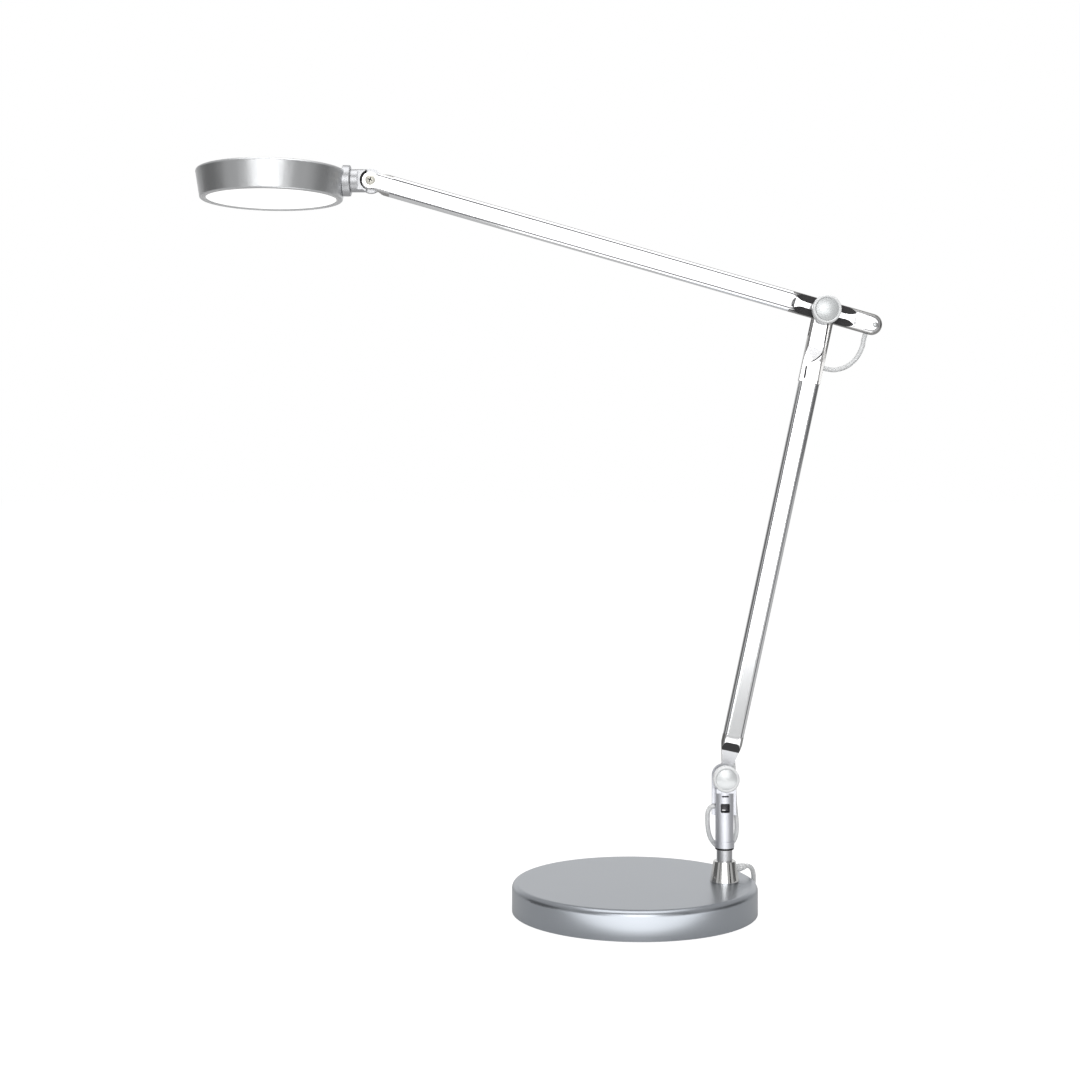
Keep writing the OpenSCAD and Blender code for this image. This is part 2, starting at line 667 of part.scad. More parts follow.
module upper_tail() {
    color("silver") along_upper() difference() {
        union() {
            intersection() {
                oval_bar(-(tail_len - half_w), shoulder_reach, tube_w, tube_t);
                thick_profile([[-tail_len, half_t], [-ramp_out, half_t], [-ramp_in, tongue_t / 2],
                    [ramp_in, tongue_t / 2], [ramp_out, half_t], [shoulder_reach, half_t]], tube_w);
            }
            translate([-(tail_len - half_w), 0, 0]) oval_disc(half_w, tube_t);
            tube_plug(shoulder_reach - 1, shoulder_reach + plug_depth);
        }
        pin_y(bolt_d / 2 + run, -tube_t, tube_t);
        translate([tail_screw_x, 0, 0]) pin_y(tail_screw_r * 0.6, -tube_t, half_t - 1);
    }
}
module tail_screw() {
    color("silver") along_upper() translate([tail_screw_x, -half_t, 0]) union() {
        rotate([90, 0, 0]) dome(tail_screw_r, 0.7);
        pin_y(tail_screw_r * 0.6 - 0.05, -0.1, tube_t - 2);
    }
}
module upper_tube() { color("whitesmoke") along_upper() arm_tube(shoulder_reach, upper_len - tip_reach); }
module upper_tip() {
    color("silver") along_tip() difference() {
        union() {
            pin_y(tip_eye_r, -half_t, lap_y);
            intersection() {
                oval_bar(0, tip_reach, tube_w, tube_t);
                bottle(0, tip_reach - 3, tip_reach, tip_eye_r - 1.4, half_w, -half_t, half_t);
            }
            tube_plug(tip_reach - 1, tip_reach + plug_depth);
        }
        translate([-lap_reach, lap_y, -tube_w]) cube([2 * lap_reach, tube_t, 2 * tube_w]);
        pin_y(hinge_screw_r + run, -tube_t, tube_t);
    }
}

// Cable loops over the two arm joints, from each joint's pivot: their points stay as chosen
lower_loop = [
    [-8.7, 3, -28.6], [-12.5, 3.1, -29.4], [-14.9, 3.6, -33], [-15.5, 4.8, -39], [-15.1, 6.4, -47],
    [-13.9, 8.4, -54.6], [-10.9, 10.6, -62], [-6.1, 12.4, -67.4], [0, 13.2, -69.4], [6.1, 13, -67.2],
    [10.7, 12.4, -61.6], [12.7, 12.2, -53.4], [12.5, 12.4, -43], [11.5, 12.8, -31], [10.7, 13.2, -17],
    [10.3, 13.6, -2], [9.5, 13.6, 12], [8.5, 12.8, 23], [7.8, 10.6, 31], [7.5, 8, 34.6], [7.5, 6.2, 35.4],
    [7.5, 5.04, 35.4]];
elbow_loop = [
    [38.5, 0, -21.67], [37.3, 0, -25.87], [35.8, 0, -33.07], [32.8, 0, -40.07], [28.2, 0, -46.47],
    [21.8, 0, -51.67], [14.4, 0, -54.67], [7.8, 0, -55.47], [3.1, 0, -54.77], [-1.1, 0, -53.87]];
module lower_cable_loop() { color("whitesmoke") at_lower() sweep(lower_loop, lead_d, 10); }
module elbow_cable_loop() { color("whitesmoke") at_elbow() sweep(elbow_loop, lead_d, 10); }

// Head hinge: the neck's cup holds the arm's eye under a cross-head screw
module hinge_washer() {
    color("black") at_hinge() difference() {
        pin_y(washer_r, lap_y + 0.05, -0.05);
        pin_y(hinge_screw_r + run, lap_y - 1, 1);
    }
}
module hinge_screw() {
    color("lightgray") at_hinge() difference() {
        union() {
            pin_y(hinge_screw_r, -half_t - 0.1, cup_depth - 0.4);
            translate([0, -half_t - 0.05, 0]) rotate([90, 0, 0]) union() {
                cylinder(r = screw_head_r, h = 0.6);
                translate([0, 0, 0.6]) dome(screw_head_r, screw_head_h - 0.6);
            }
        }
        for (turn = [20, 110]) rotate([0, turn, 0])
            translate([-2.4, -half_t - screw_head_h - 1, -cross_w / 2]) cube([4.8, 2.2, cross_w]);
    }
}
module hinge_nut() {
    color("gray") at_hinge() difference() {
        translate([0, cup_depth - hinge_nut_h, 0]) rotate([-90, 0, 0])
            hex(hinge_nut_af - 0.1, hinge_nut_h - 0.2);
        pin_y(hinge_screw_r + 0.02, 0, cup_depth + 1);
    }
}
module head_neck() {
    r = head_neck_d / 2;
    flat_x = -12;
    color("silver") at_hinge() difference() {
        union() {
            pin_y(knuckle_r, 0, cup_depth);
            intersection() {
                pin_y(knuckle_r, -cup_depth, cup_depth);
                translate([0, cup_depth + 1, 0]) rotate([90, 0, 0]) linear_extrude(2 * cup_depth + 2)
                    polygon(concat([[0, 0]], [for (a = [rim_from:(rim_to - rim_from) / 12:rim_to + 0.1])
                        2 * knuckle_r * [cos(a), sin(a)]]));
            }
            pin_x(r, collar_x + gap, flat_x);
            intersection() {
                pin_x(r, flat_x - e, -3.5);
                translate([flat_x - 1, -cup_depth, -r]) cube([12, 2 * cup_depth, 2 * r]);
            }
            pin_x(pivot_d / 2, collar_x - pivot_len, collar_x + gap + e);
        }
        pin_y(cup_r, -r - 1, 0);
        pin_y(hinge_screw_r + run, -1, cup_depth + 1);
        translate([0, cup_depth - hinge_nut_h, 0]) rotate([-90, 0, 0]) hex(hinge_nut_af, hinge_nut_h + 1);
        clip_groove(collar_x - pivot_len + 1);
    }
}
module clip_groove(x) {
    difference() {
        pin_x(pivot_d / 2 + 1, x, x + clip_t + 0.1);
        pin_x(pivot_d / 2 - 0.8, x - 1, x + clip_t + 1);
    }
}
module neck_clip() {
    x = collar_x - pivot_len + 1.05;
    color("gray") at_hinge() difference() {
        pin_x(pivot_d / 2 + 1.4, x, x + clip_t);
        pin_x(pivot_d / 2 - 0.8, x - 1, x + clip_t + 1);
        translate([x - 1, -1.4, 0]) cube([clip_t + 2, 2.8, pivot_d]);
    }
}
module head_collar() {
    edge = 0.8;
    color("silver") at_hinge() difference() {
        union() {
            pin_x(collar_d / 2, collar_back_x, collar_x - edge);
            pin_x(collar_d / 2, collar_x - edge, collar_x, collar_d / 2 - edge);
            pin_x(stub_d / 2, collar_back_x - stub_len, collar_back_x + e);
        }
        pin_x(pivot_d / 2 + run, collar_back_x - stub_len - 1, collar_x + 1);
    }
}
module collar_nut() {
    color("gray") at_hinge() difference() {
        translate([collar_back_x - stub_len + 0.4, 0, 0]) rotate([0, 90, 0]) rotate([0, 0, 30])
            hex(collar_nut_af, 2.7);
        pin_x(stub_d / 2 + 0.02, collar_back_x - stub_len, collar_back_x);
    }
}

// Head
module head_section(d) {
    polygon([[0, shell_foot - (d > 0 ? 1 : 0)], [head_foot_r - d, shell_foot - (d > 0 ? 1 : 0)],
        [head_foot_r - d, shell_foot], [head_r - d, head_top - round_r], [head_r - round_r - d, head_top - d],
        [0, head_top - d]]);
    translate([head_r - max(d, round_r), head_top - max(d, round_r)]) circle(max(round_r - d, 0.4), $fn = 32);
}
module head_posts(r, z0, z1) {
    for (a = post_angles) rotate([0, 0, a]) translate([post_ring_r, 0, z0]) cylinder(r = r, h = z1 - z0);
}
module head_housing() {
    color("silver") difference() {
        at_head() union() {
            rotate_extrude($fn = 128) intersection() {
                difference() {
                    head_section(0);
                    head_section(head_wall);
                }
                translate([0, shell_foot]) square([head_r + 1, head_h + 1]);
            }
            difference() {
                head_posts(post_r, board_z + board_t + sink_t, shell_top + e);
                head_posts(screw_r, board_z, board_z + board_t + sink_t + 6);
            }
        }
        at_hinge() {
            pin_x(collar_d / 2 + run, collar_back_x, collar_x + 1);
            pin_x(stub_d / 2 + run, collar_back_x - stub_len - 4, collar_back_x + 1);
        }
    }
}
module heat_plate() {
    color("gainsboro") at_head() difference() {
        translate([0, 0, board_z + board_t]) cylinder(r = board_r, h = sink_t);
        head_posts(screw_r, board_z, board_z + 9);
    }
}
module led_board() {
    color("white") at_head() difference() {
        translate([0, 0, board_z]) cylinder(r = board_r - 1, h = board_t);
        head_posts(screw_r, board_z - 1, board_z + 9);
    }
}
module led_chips() {
    color("khaki") at_head() for (s = ring_shares, i = [0:round(led_count * s) - 1])
        rotate([0, 0, 360 * i / round(led_count * s) + 7])
            translate([board_r * s - 5 * s, 0, board_z - chip_t / 2])
                cube([chip_w, chip_w, chip_t], center = true);
}
module board_screws() {
    color("gray") at_head() {
        head_posts(screw_r - 0.05, board_z, board_z + board_t + sink_t + 5);
        head_posts(screw_r * 1.8, board_z - 1.2, board_z);
    }
}
module bezel_ring() {
    color("white") at_head() rotate_extrude($fn = 128) difference() {
        translate([inner_r - bezel_w, shell_foot]) square([bezel_w - 0.02, bezel_h]);
        translate([0, diffuser_z]) square([inner_r - bezel_w + ledge, bezel_h]);
        polygon([[inner_r - bezel_w - e, shell_foot - e], [inner_r - bezel_w + 1, shell_foot - e],
            [inner_r - bezel_w - e, diffuser_z + e]]);
    }
}
module diffuser() {
    color("white") at_head() translate([0, 0, diffuser_z]) cylinder(r = inner_r - bezel_w + ledge - 0.05,
        h = diffuser_t, $fn = 128);
}

base_cover();
base_weight();
base_plate();
plate_screws();
base_pad();
post_cone();
post_spindle();
post_nut();
thrust_ring();
spindle_clip();
inner_lead();
strain_relief();
mains_cord();
cord_coil();
cord_end();
plug_body();
plug_pins();
swivel_sleeve();
switch_frame();
switch_rocker();
lower_bolt();
lower_washers();
lower_knob();
lower_knob_cap();
lower_cable_loop();
lower_foot();
lower_tube();
lower_fork();
elbow_bolt();
elbow_washers();
elbow_knob();
elbow_knob_cap();
elbow_cable_loop();
upper_tail();
tail_screw();
upper_tube();
upper_tip();
hinge_screw();
hinge_nut();
hinge_washer();
head_neck();
neck_clip();
head_collar();
collar_nut();
head_housing();
heat_plate();
led_board();
led_chips();
diffuser();
bezel_ring();
board_screws();
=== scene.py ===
import json
import math

import bpy
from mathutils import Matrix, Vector

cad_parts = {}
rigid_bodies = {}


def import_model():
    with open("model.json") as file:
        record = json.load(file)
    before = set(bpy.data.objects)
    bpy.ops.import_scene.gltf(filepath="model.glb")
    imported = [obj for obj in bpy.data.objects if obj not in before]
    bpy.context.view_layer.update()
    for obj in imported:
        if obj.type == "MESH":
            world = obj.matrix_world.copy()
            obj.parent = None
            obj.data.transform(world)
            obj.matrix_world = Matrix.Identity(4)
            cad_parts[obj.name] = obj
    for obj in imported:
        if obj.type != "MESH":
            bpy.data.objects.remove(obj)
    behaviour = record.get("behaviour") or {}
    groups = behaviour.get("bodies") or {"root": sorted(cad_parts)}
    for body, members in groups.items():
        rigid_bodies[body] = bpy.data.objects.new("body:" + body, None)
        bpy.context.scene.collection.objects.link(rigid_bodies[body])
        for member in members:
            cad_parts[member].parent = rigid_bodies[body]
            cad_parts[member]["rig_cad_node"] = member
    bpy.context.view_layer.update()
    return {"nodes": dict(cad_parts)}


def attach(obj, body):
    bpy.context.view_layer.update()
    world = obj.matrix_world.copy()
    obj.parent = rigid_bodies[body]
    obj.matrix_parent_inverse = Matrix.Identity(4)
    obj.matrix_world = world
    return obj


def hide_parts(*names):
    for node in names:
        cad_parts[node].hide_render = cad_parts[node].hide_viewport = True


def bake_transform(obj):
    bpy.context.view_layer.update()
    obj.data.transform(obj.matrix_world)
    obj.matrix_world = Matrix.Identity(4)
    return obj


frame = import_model()
nodes = frame["nodes"]
mm = 0.001
print("frame loaded:", len(nodes), "nodes")

# camera and studio
camera = {"place": (-0.0887, -1.620, 0.3953), "lens": 57.51, "sensor": 36, "shiftY": -0.0467}
studio = {
    "worldDiffuse": 0.5, "worldMirrored": 0.5, "background": 1.0,
    "frontBox": {"place": (-0.2, -3.0, 0.75), "size": (2.4, 2.4), "watts": 46},
    "topBox": {"place": (-0.1, -0.3, 2.4), "size": (2.2, 2.0), "watts": 22},
    "floorColor": (0.35, 0.35, 0.35), "floorGlow": 0.83, "floorMirrored": 0.3, "floorSize": 60,
    "floorPlace": (0, 18, 0), "aimedAt": (-0.05, 0, 0.35),
    # place, size, turn in degrees and glow of the cards that only the metal shows
    "cards": {"darkLeft": ((-2.45, -2.25, 0.8), (0.5, 3.6), (90, 0, -45), 0.18),
              "darkRight": ((2.25, -2.25, 0.8), (0.5, 3.6), (90, 0, 45), 0.03),
              "darkHigh": ((-0.1, -2.2, 2.75), (4.0, 0.6), (45, 0, 0), 0.05),
              "paleBack": ((0, 3.2, 0.95), (5.0, 1.7), (90, 0, 0), 0.85),
              "paleTable": ((0, -0.35, 0.002), (0.70, 0.42), (0, 0, 0), 2.1),
              "darkStrip": ((-0.60, -1.90, 0.5), (0.13, 2.2), (90, 0, -20), 0.02),
              "farLeft": ((-2.6, 0.3, 0.6), (2.2, 1.6), (90, 0, -90), 0.13),
              "farRight": ((2.6, 0.3, 0.6), (2.2, 1.6), (90, 0, 90), 0.13)},
}


def addCamera(values):
    data = bpy.data.cameras.new("camera")
    data.sensor_width = values["sensor"]
    data.lens = values["lens"]
    data.shift_y = values["shiftY"]
    data.clip_end = 100
    holder = bpy.data.objects.new("camera", data)
    holder.location = values["place"]
    holder.rotation_euler = (math.radians(90), 0, 0)
    bpy.context.collection.objects.link(holder)
    bpy.context.scene.camera = holder


def addSoftbox(name, values, aimedAt):
    data = bpy.data.lights.new(name, "AREA")
    data.shape = "RECTANGLE"
    data.size, data.size_y = values["size"]
    data.energy = values["watts"]
    holder = bpy.data.objects.new(name, data)
    holder.location = values["place"]
    aim = Vector(aimedAt) - holder.location
    holder.rotation_euler = aim.to_track_quat("-Z", "Y").to_euler()
    bpy.context.collection.objects.link(holder)


def setInputs(tree, node, inputs):
    # a socket is linked, a colour gets its alpha and any other value is set
    for label, value in inputs.items():
        if isinstance(value, bpy.types.NodeSocket):
            tree.links.new(value, node.inputs[label])
        else:
            isColor = isinstance(value, tuple) and len(value) == 3
            node.inputs[label].default_value = (*value, 1) if isColor else value


def addNode(tree, kind, inputs=None, **settings):
    node = tree.nodes.new(kind)
    for label, value in settings.items():
        setattr(node, label, value)
    setInputs(tree, node, inputs or {})
    return node


def mathOf(tree, operation, *values):
    # the result of a maths node fed with sockets or numbers
    return addNode(tree, "ShaderNodeMath", dict(enumerate(values)), operation=operation).outputs[0]


def seenRay(tree, mirrored=1.0):
    # 1 for what the camera or glass sees, mirrored for what metal shows, 0 for what only lights the object
    path = addNode(tree, "ShaderNodeLightPath")
    inMetal = mathOf(tree, "MULTIPLY", path.outputs["Is Glossy Ray"], mirrored)
    shown = mathOf(tree, "MAXIMUM", path.outputs["Is Camera Ray"], inMetal)
    return mathOf(tree, "MAXIMUM", shown, path.outputs["Is Transmission Ray"])


def setWorld(values):
    world = bpy.data.worlds.new("studioWorld")
    bpy.context.scene.world = world
    world.use_nodes = True
    tree = world.node_tree
    low, high = values["worldDiffuse"], values["background"]
    share = (values["worldMirrored"] - low) / (high - low)
    strength = addNode(tree, "ShaderNodeMapRange", {"Value": seenRay(tree, share), "To Min": low, "To Max": high})
    setInputs(tree, tree.nodes["Background"], {"Color": (1, 1, 1), "Strength": strength.outputs["Result"]})


def stageMaterial(name):
    # a material with its shader taken out
    material = bpy.data.materials.new(name)
    material.use_nodes = True
    tree = material.node_tree
    tree.nodes.remove(tree.nodes["Principled BSDF"])
    return material, tree


def addFloor(values):
    bpy.ops.mesh.primitive_plane_add(size=values["floorSize"], location=values["floorPlace"])
    floor = bpy.context.active_object
    floor.name = "floor"
    material, tree = stageMaterial("floorWhite")
    strength = mathOf(tree, "MULTIPLY", seenRay(tree, values["floorMirrored"]), values["floorGlow"])
    matt = addNode(tree, "ShaderNodeBsdfDiffuse", {"Color": values["floorColor"]})
    glow = addNode(tree, "ShaderNodeEmission", {"Strength": strength})
    both = addNode(tree, "ShaderNodeAddShader", {0: matt.outputs[0], 1: glow.outputs[0]})
    tree.links.new(both.outputs[0], tree.nodes["Material Output"].inputs["Surface"])
    floor.data.materials.append(material)


def addCards(values):
    # a studio's dark and pale cards, seen only in the metal, draw its edges
    for name, (place, size, turn, glowing) in values["cards"].items():
        material, tree = stageMaterial(name)
        glow = addNode(tree, "ShaderNodeEmission", {"Strength": glowing})
        tree.links.new(glow.outputs[0], tree.nodes["Material Output"].inputs["Surface"])
        bpy.ops.mesh.primitive_plane_add(size=1, location=place, rotation=[math.radians(t) for t in turn])
        card = bpy.context.active_object
        card.name = name
        card.scale = (*size, 1)
        card.data.materials.append(material)
        card.visible_camera = False
        card.visible_diffuse = False
        card.visible_shadow = False
        card.visible_transmission = False


bpy.context.scene.view_settings.view_transform = "Standard"
addCamera(camera)
setWorld(studio)
addSoftbox("frontBox", studio["frontBox"], studio["aimedAt"])
addSoftbox("topBox", studio["topBox"], studio["aimedAt"])
addFloor(studio)
addCards(studio)
print("camera and studio set")


# shader groups
def newGroup(name, inputs, outputs):
    group = bpy.data.node_groups.new(name, "ShaderNodeTree")
    for label, kind, value in inputs:
        socket = group.interface.new_socket(name=label, in_out="INPUT", socket_type=kind)
        socket.default_value = value
    for label, kind in outputs:
        group.interface.new_socket(name=label, in_out="OUTPUT", socket_type=kind)
    return group, group.nodes.new("NodeGroupInput"), group.nodes.new("NodeGroupOutput")


def finishGroup(name, color, roughness, *extra):
    # a group that gives a finish's colour, roughness and height, with the pattern's own inputs last
    inputs = [("Color", "NodeSocketColor", color), ("Tint", "NodeSocketColor", color),
              ("Amount", "NodeSocketFloat", 0.5), ("Roughness", "NodeSocketFloat", roughness),
              ("Spread", "NodeSocketFloat", 0.1)]
    inputs += [(label, "NodeSocketFloat", value) for label, value in extra]
    return newGroup(name, inputs, [("Color", "NodeSocketColor"), ("Roughness", "NodeSocketFloat"),
                                   ("Height", "NodeSocketFloat")])


def wireFinish(group, entry, leave, value):
    # a pattern from 0 to 1 turns into colour, roughness and height
    share = mathOf(group, "MULTIPLY", value, entry.outputs["Amount"])
    mix = addNode(group, "ShaderNodeMix", {0: share, 6: entry.outputs["Color"], 7: entry.outputs["Tint"]},
                  data_type="RGBA")
    centred = mathOf(group, "SUBTRACT", value, 0.5)
    rough = addNode(group, "ShaderNodeMath", {0: centred, 1: entry.outputs["Spread"], 2: entry.outputs["Roughness"]},
                    operation="MULTIPLY_ADD", use_clamp=True)
    setInputs(group, leave, {"Color": mix.outputs[2], "Roughness": rough.outputs[0], "Height": value})


def makeGrain():
    # fine speckle over slow, soft handling marks
    group, entry, leave = finishGroup("fineGrain", (0.5, 0.5, 0.5, 1), 0.4, ("Scale", 900), ("Smudge", 0.3))
    place = addNode(group, "ShaderNodeTexCoord").outputs["Object"]
    fine = addNode(group, "ShaderNodeTexNoise", {"Vector": place, "Scale": entry.outputs["Scale"], "Detail": 3})
    slow = addNode(group, "ShaderNodeTexNoise", {"Vector": place, "Scale": 14, "Detail": 2})
    mix = addNode(group, "ShaderNodeMix", {0: entry.outputs["Smudge"], 2: fine.outputs["Fac"],
                                           3: slow.outputs["Fac"]})
    wireFinish(group, entry, leave, mix.outputs[0])
    return group


def turnedPlace(group, entry):
    # the object's own coordinates, turned about Y by Angle
    place = addNode(group, "ShaderNodeTexCoord").outputs["Object"]
    return addNode(group, "ShaderNodeVectorRotate", {"Vector": place, "Angle": entry.outputs["Angle"]},
                   rotation_type="Y_AXIS").outputs["Vector"]


def makeDrawn():
    # long fine lines that a drawing die or a brush leaves
    group, entry, leave = finishGroup("drawnLines", (0.8, 0.8, 0.8, 1), 0.2, ("Angle", 0), ("Along", 12),
                                      ("Across", 1400))
    stretch = addNode(group, "ShaderNodeCombineXYZ", {0: entry.outputs["Along"], 1: entry.outputs["Across"],
                                                      2: entry.outputs["Across"]})
    scaled = addNode(group, "ShaderNodeVectorMath", {0: turnedPlace(group, entry), 1: stretch.outputs[0]},
                     operation="MULTIPLY")
    lines = addNode(group, "ShaderNodeTexNoise", {"Vector": scaled.outputs[0], "Scale": 1, "Detail": 4})
    wireFinish(group, entry, leave, lines.outputs["Fac"])
    return group


def makePaintedShadeLines():
    # 1 on the two lines of painted shade that run along an arm tube: Angle is the tube's own, Middle its axis from
    # the origin
    inputs = [(label, "NodeSocketFloat", value)
              for label, value in (("Angle", 0), ("Middle", 0), ("Inset", 0.007), ("Width", 0.0005))]
    group, entry, leave = newGroup("edgeLines", inputs, [("Mask", "NodeSocketFloat")])
    across = addNode(group, "ShaderNodeSeparateXYZ", {0: turnedPlace(group, entry)}).outputs["Z"]
    side = mathOf(group, "ABSOLUTE", mathOf(group, "SUBTRACT", across, entry.outputs["Middle"]))
    far = mathOf(group, "ABSOLUTE", mathOf(group, "SUBTRACT", side, entry.outputs["Inset"]))
    half = mathOf(group, "MULTIPLY", entry.outputs["Width"], 0.4)
    ramp = addNode(group, "ShaderNodeMapRange", {"Value": far, "From Min": half, "From Max": entry.outputs["Width"],
                                                 "To Min": 1, "To Max": 0}, interpolation_type="SMOOTHSTEP")
    group.links.new(ramp.outputs["Result"], leave.inputs["Mask"])
    return group


fineGrain = makeGrain()
drawnLines = makeDrawn()
edgeLines = makePaintedShadeLines()


# finishes
def newMaterial(name, values):
    # values: group, its inputs, bump and the shader's own plain sockets
    material = bpy.data.materials.new(name)
    material.use_nodes = True
    tree = material.node_tree
    shader = tree.nodes["Principled BSDF"]
    pattern = addNode(tree, "ShaderNodeGroup", values["pattern"], node_tree=values["group"])
    setInputs(tree, shader, {"Base Color": pattern.outputs["Color"], "Roughness": pattern.outputs["Roughness"],
                             **values["shader"]})
    if "bump" in values:
        strength, distance = values["bump"]
        bump = addNode(tree, "ShaderNodeBump", {"Strength": strength, "Distance": distance,
                                                "Height": pattern.outputs["Height"]})
        tree.links.new(bump.outputs["Normal"], shader.inputs["Normal"])
    return material


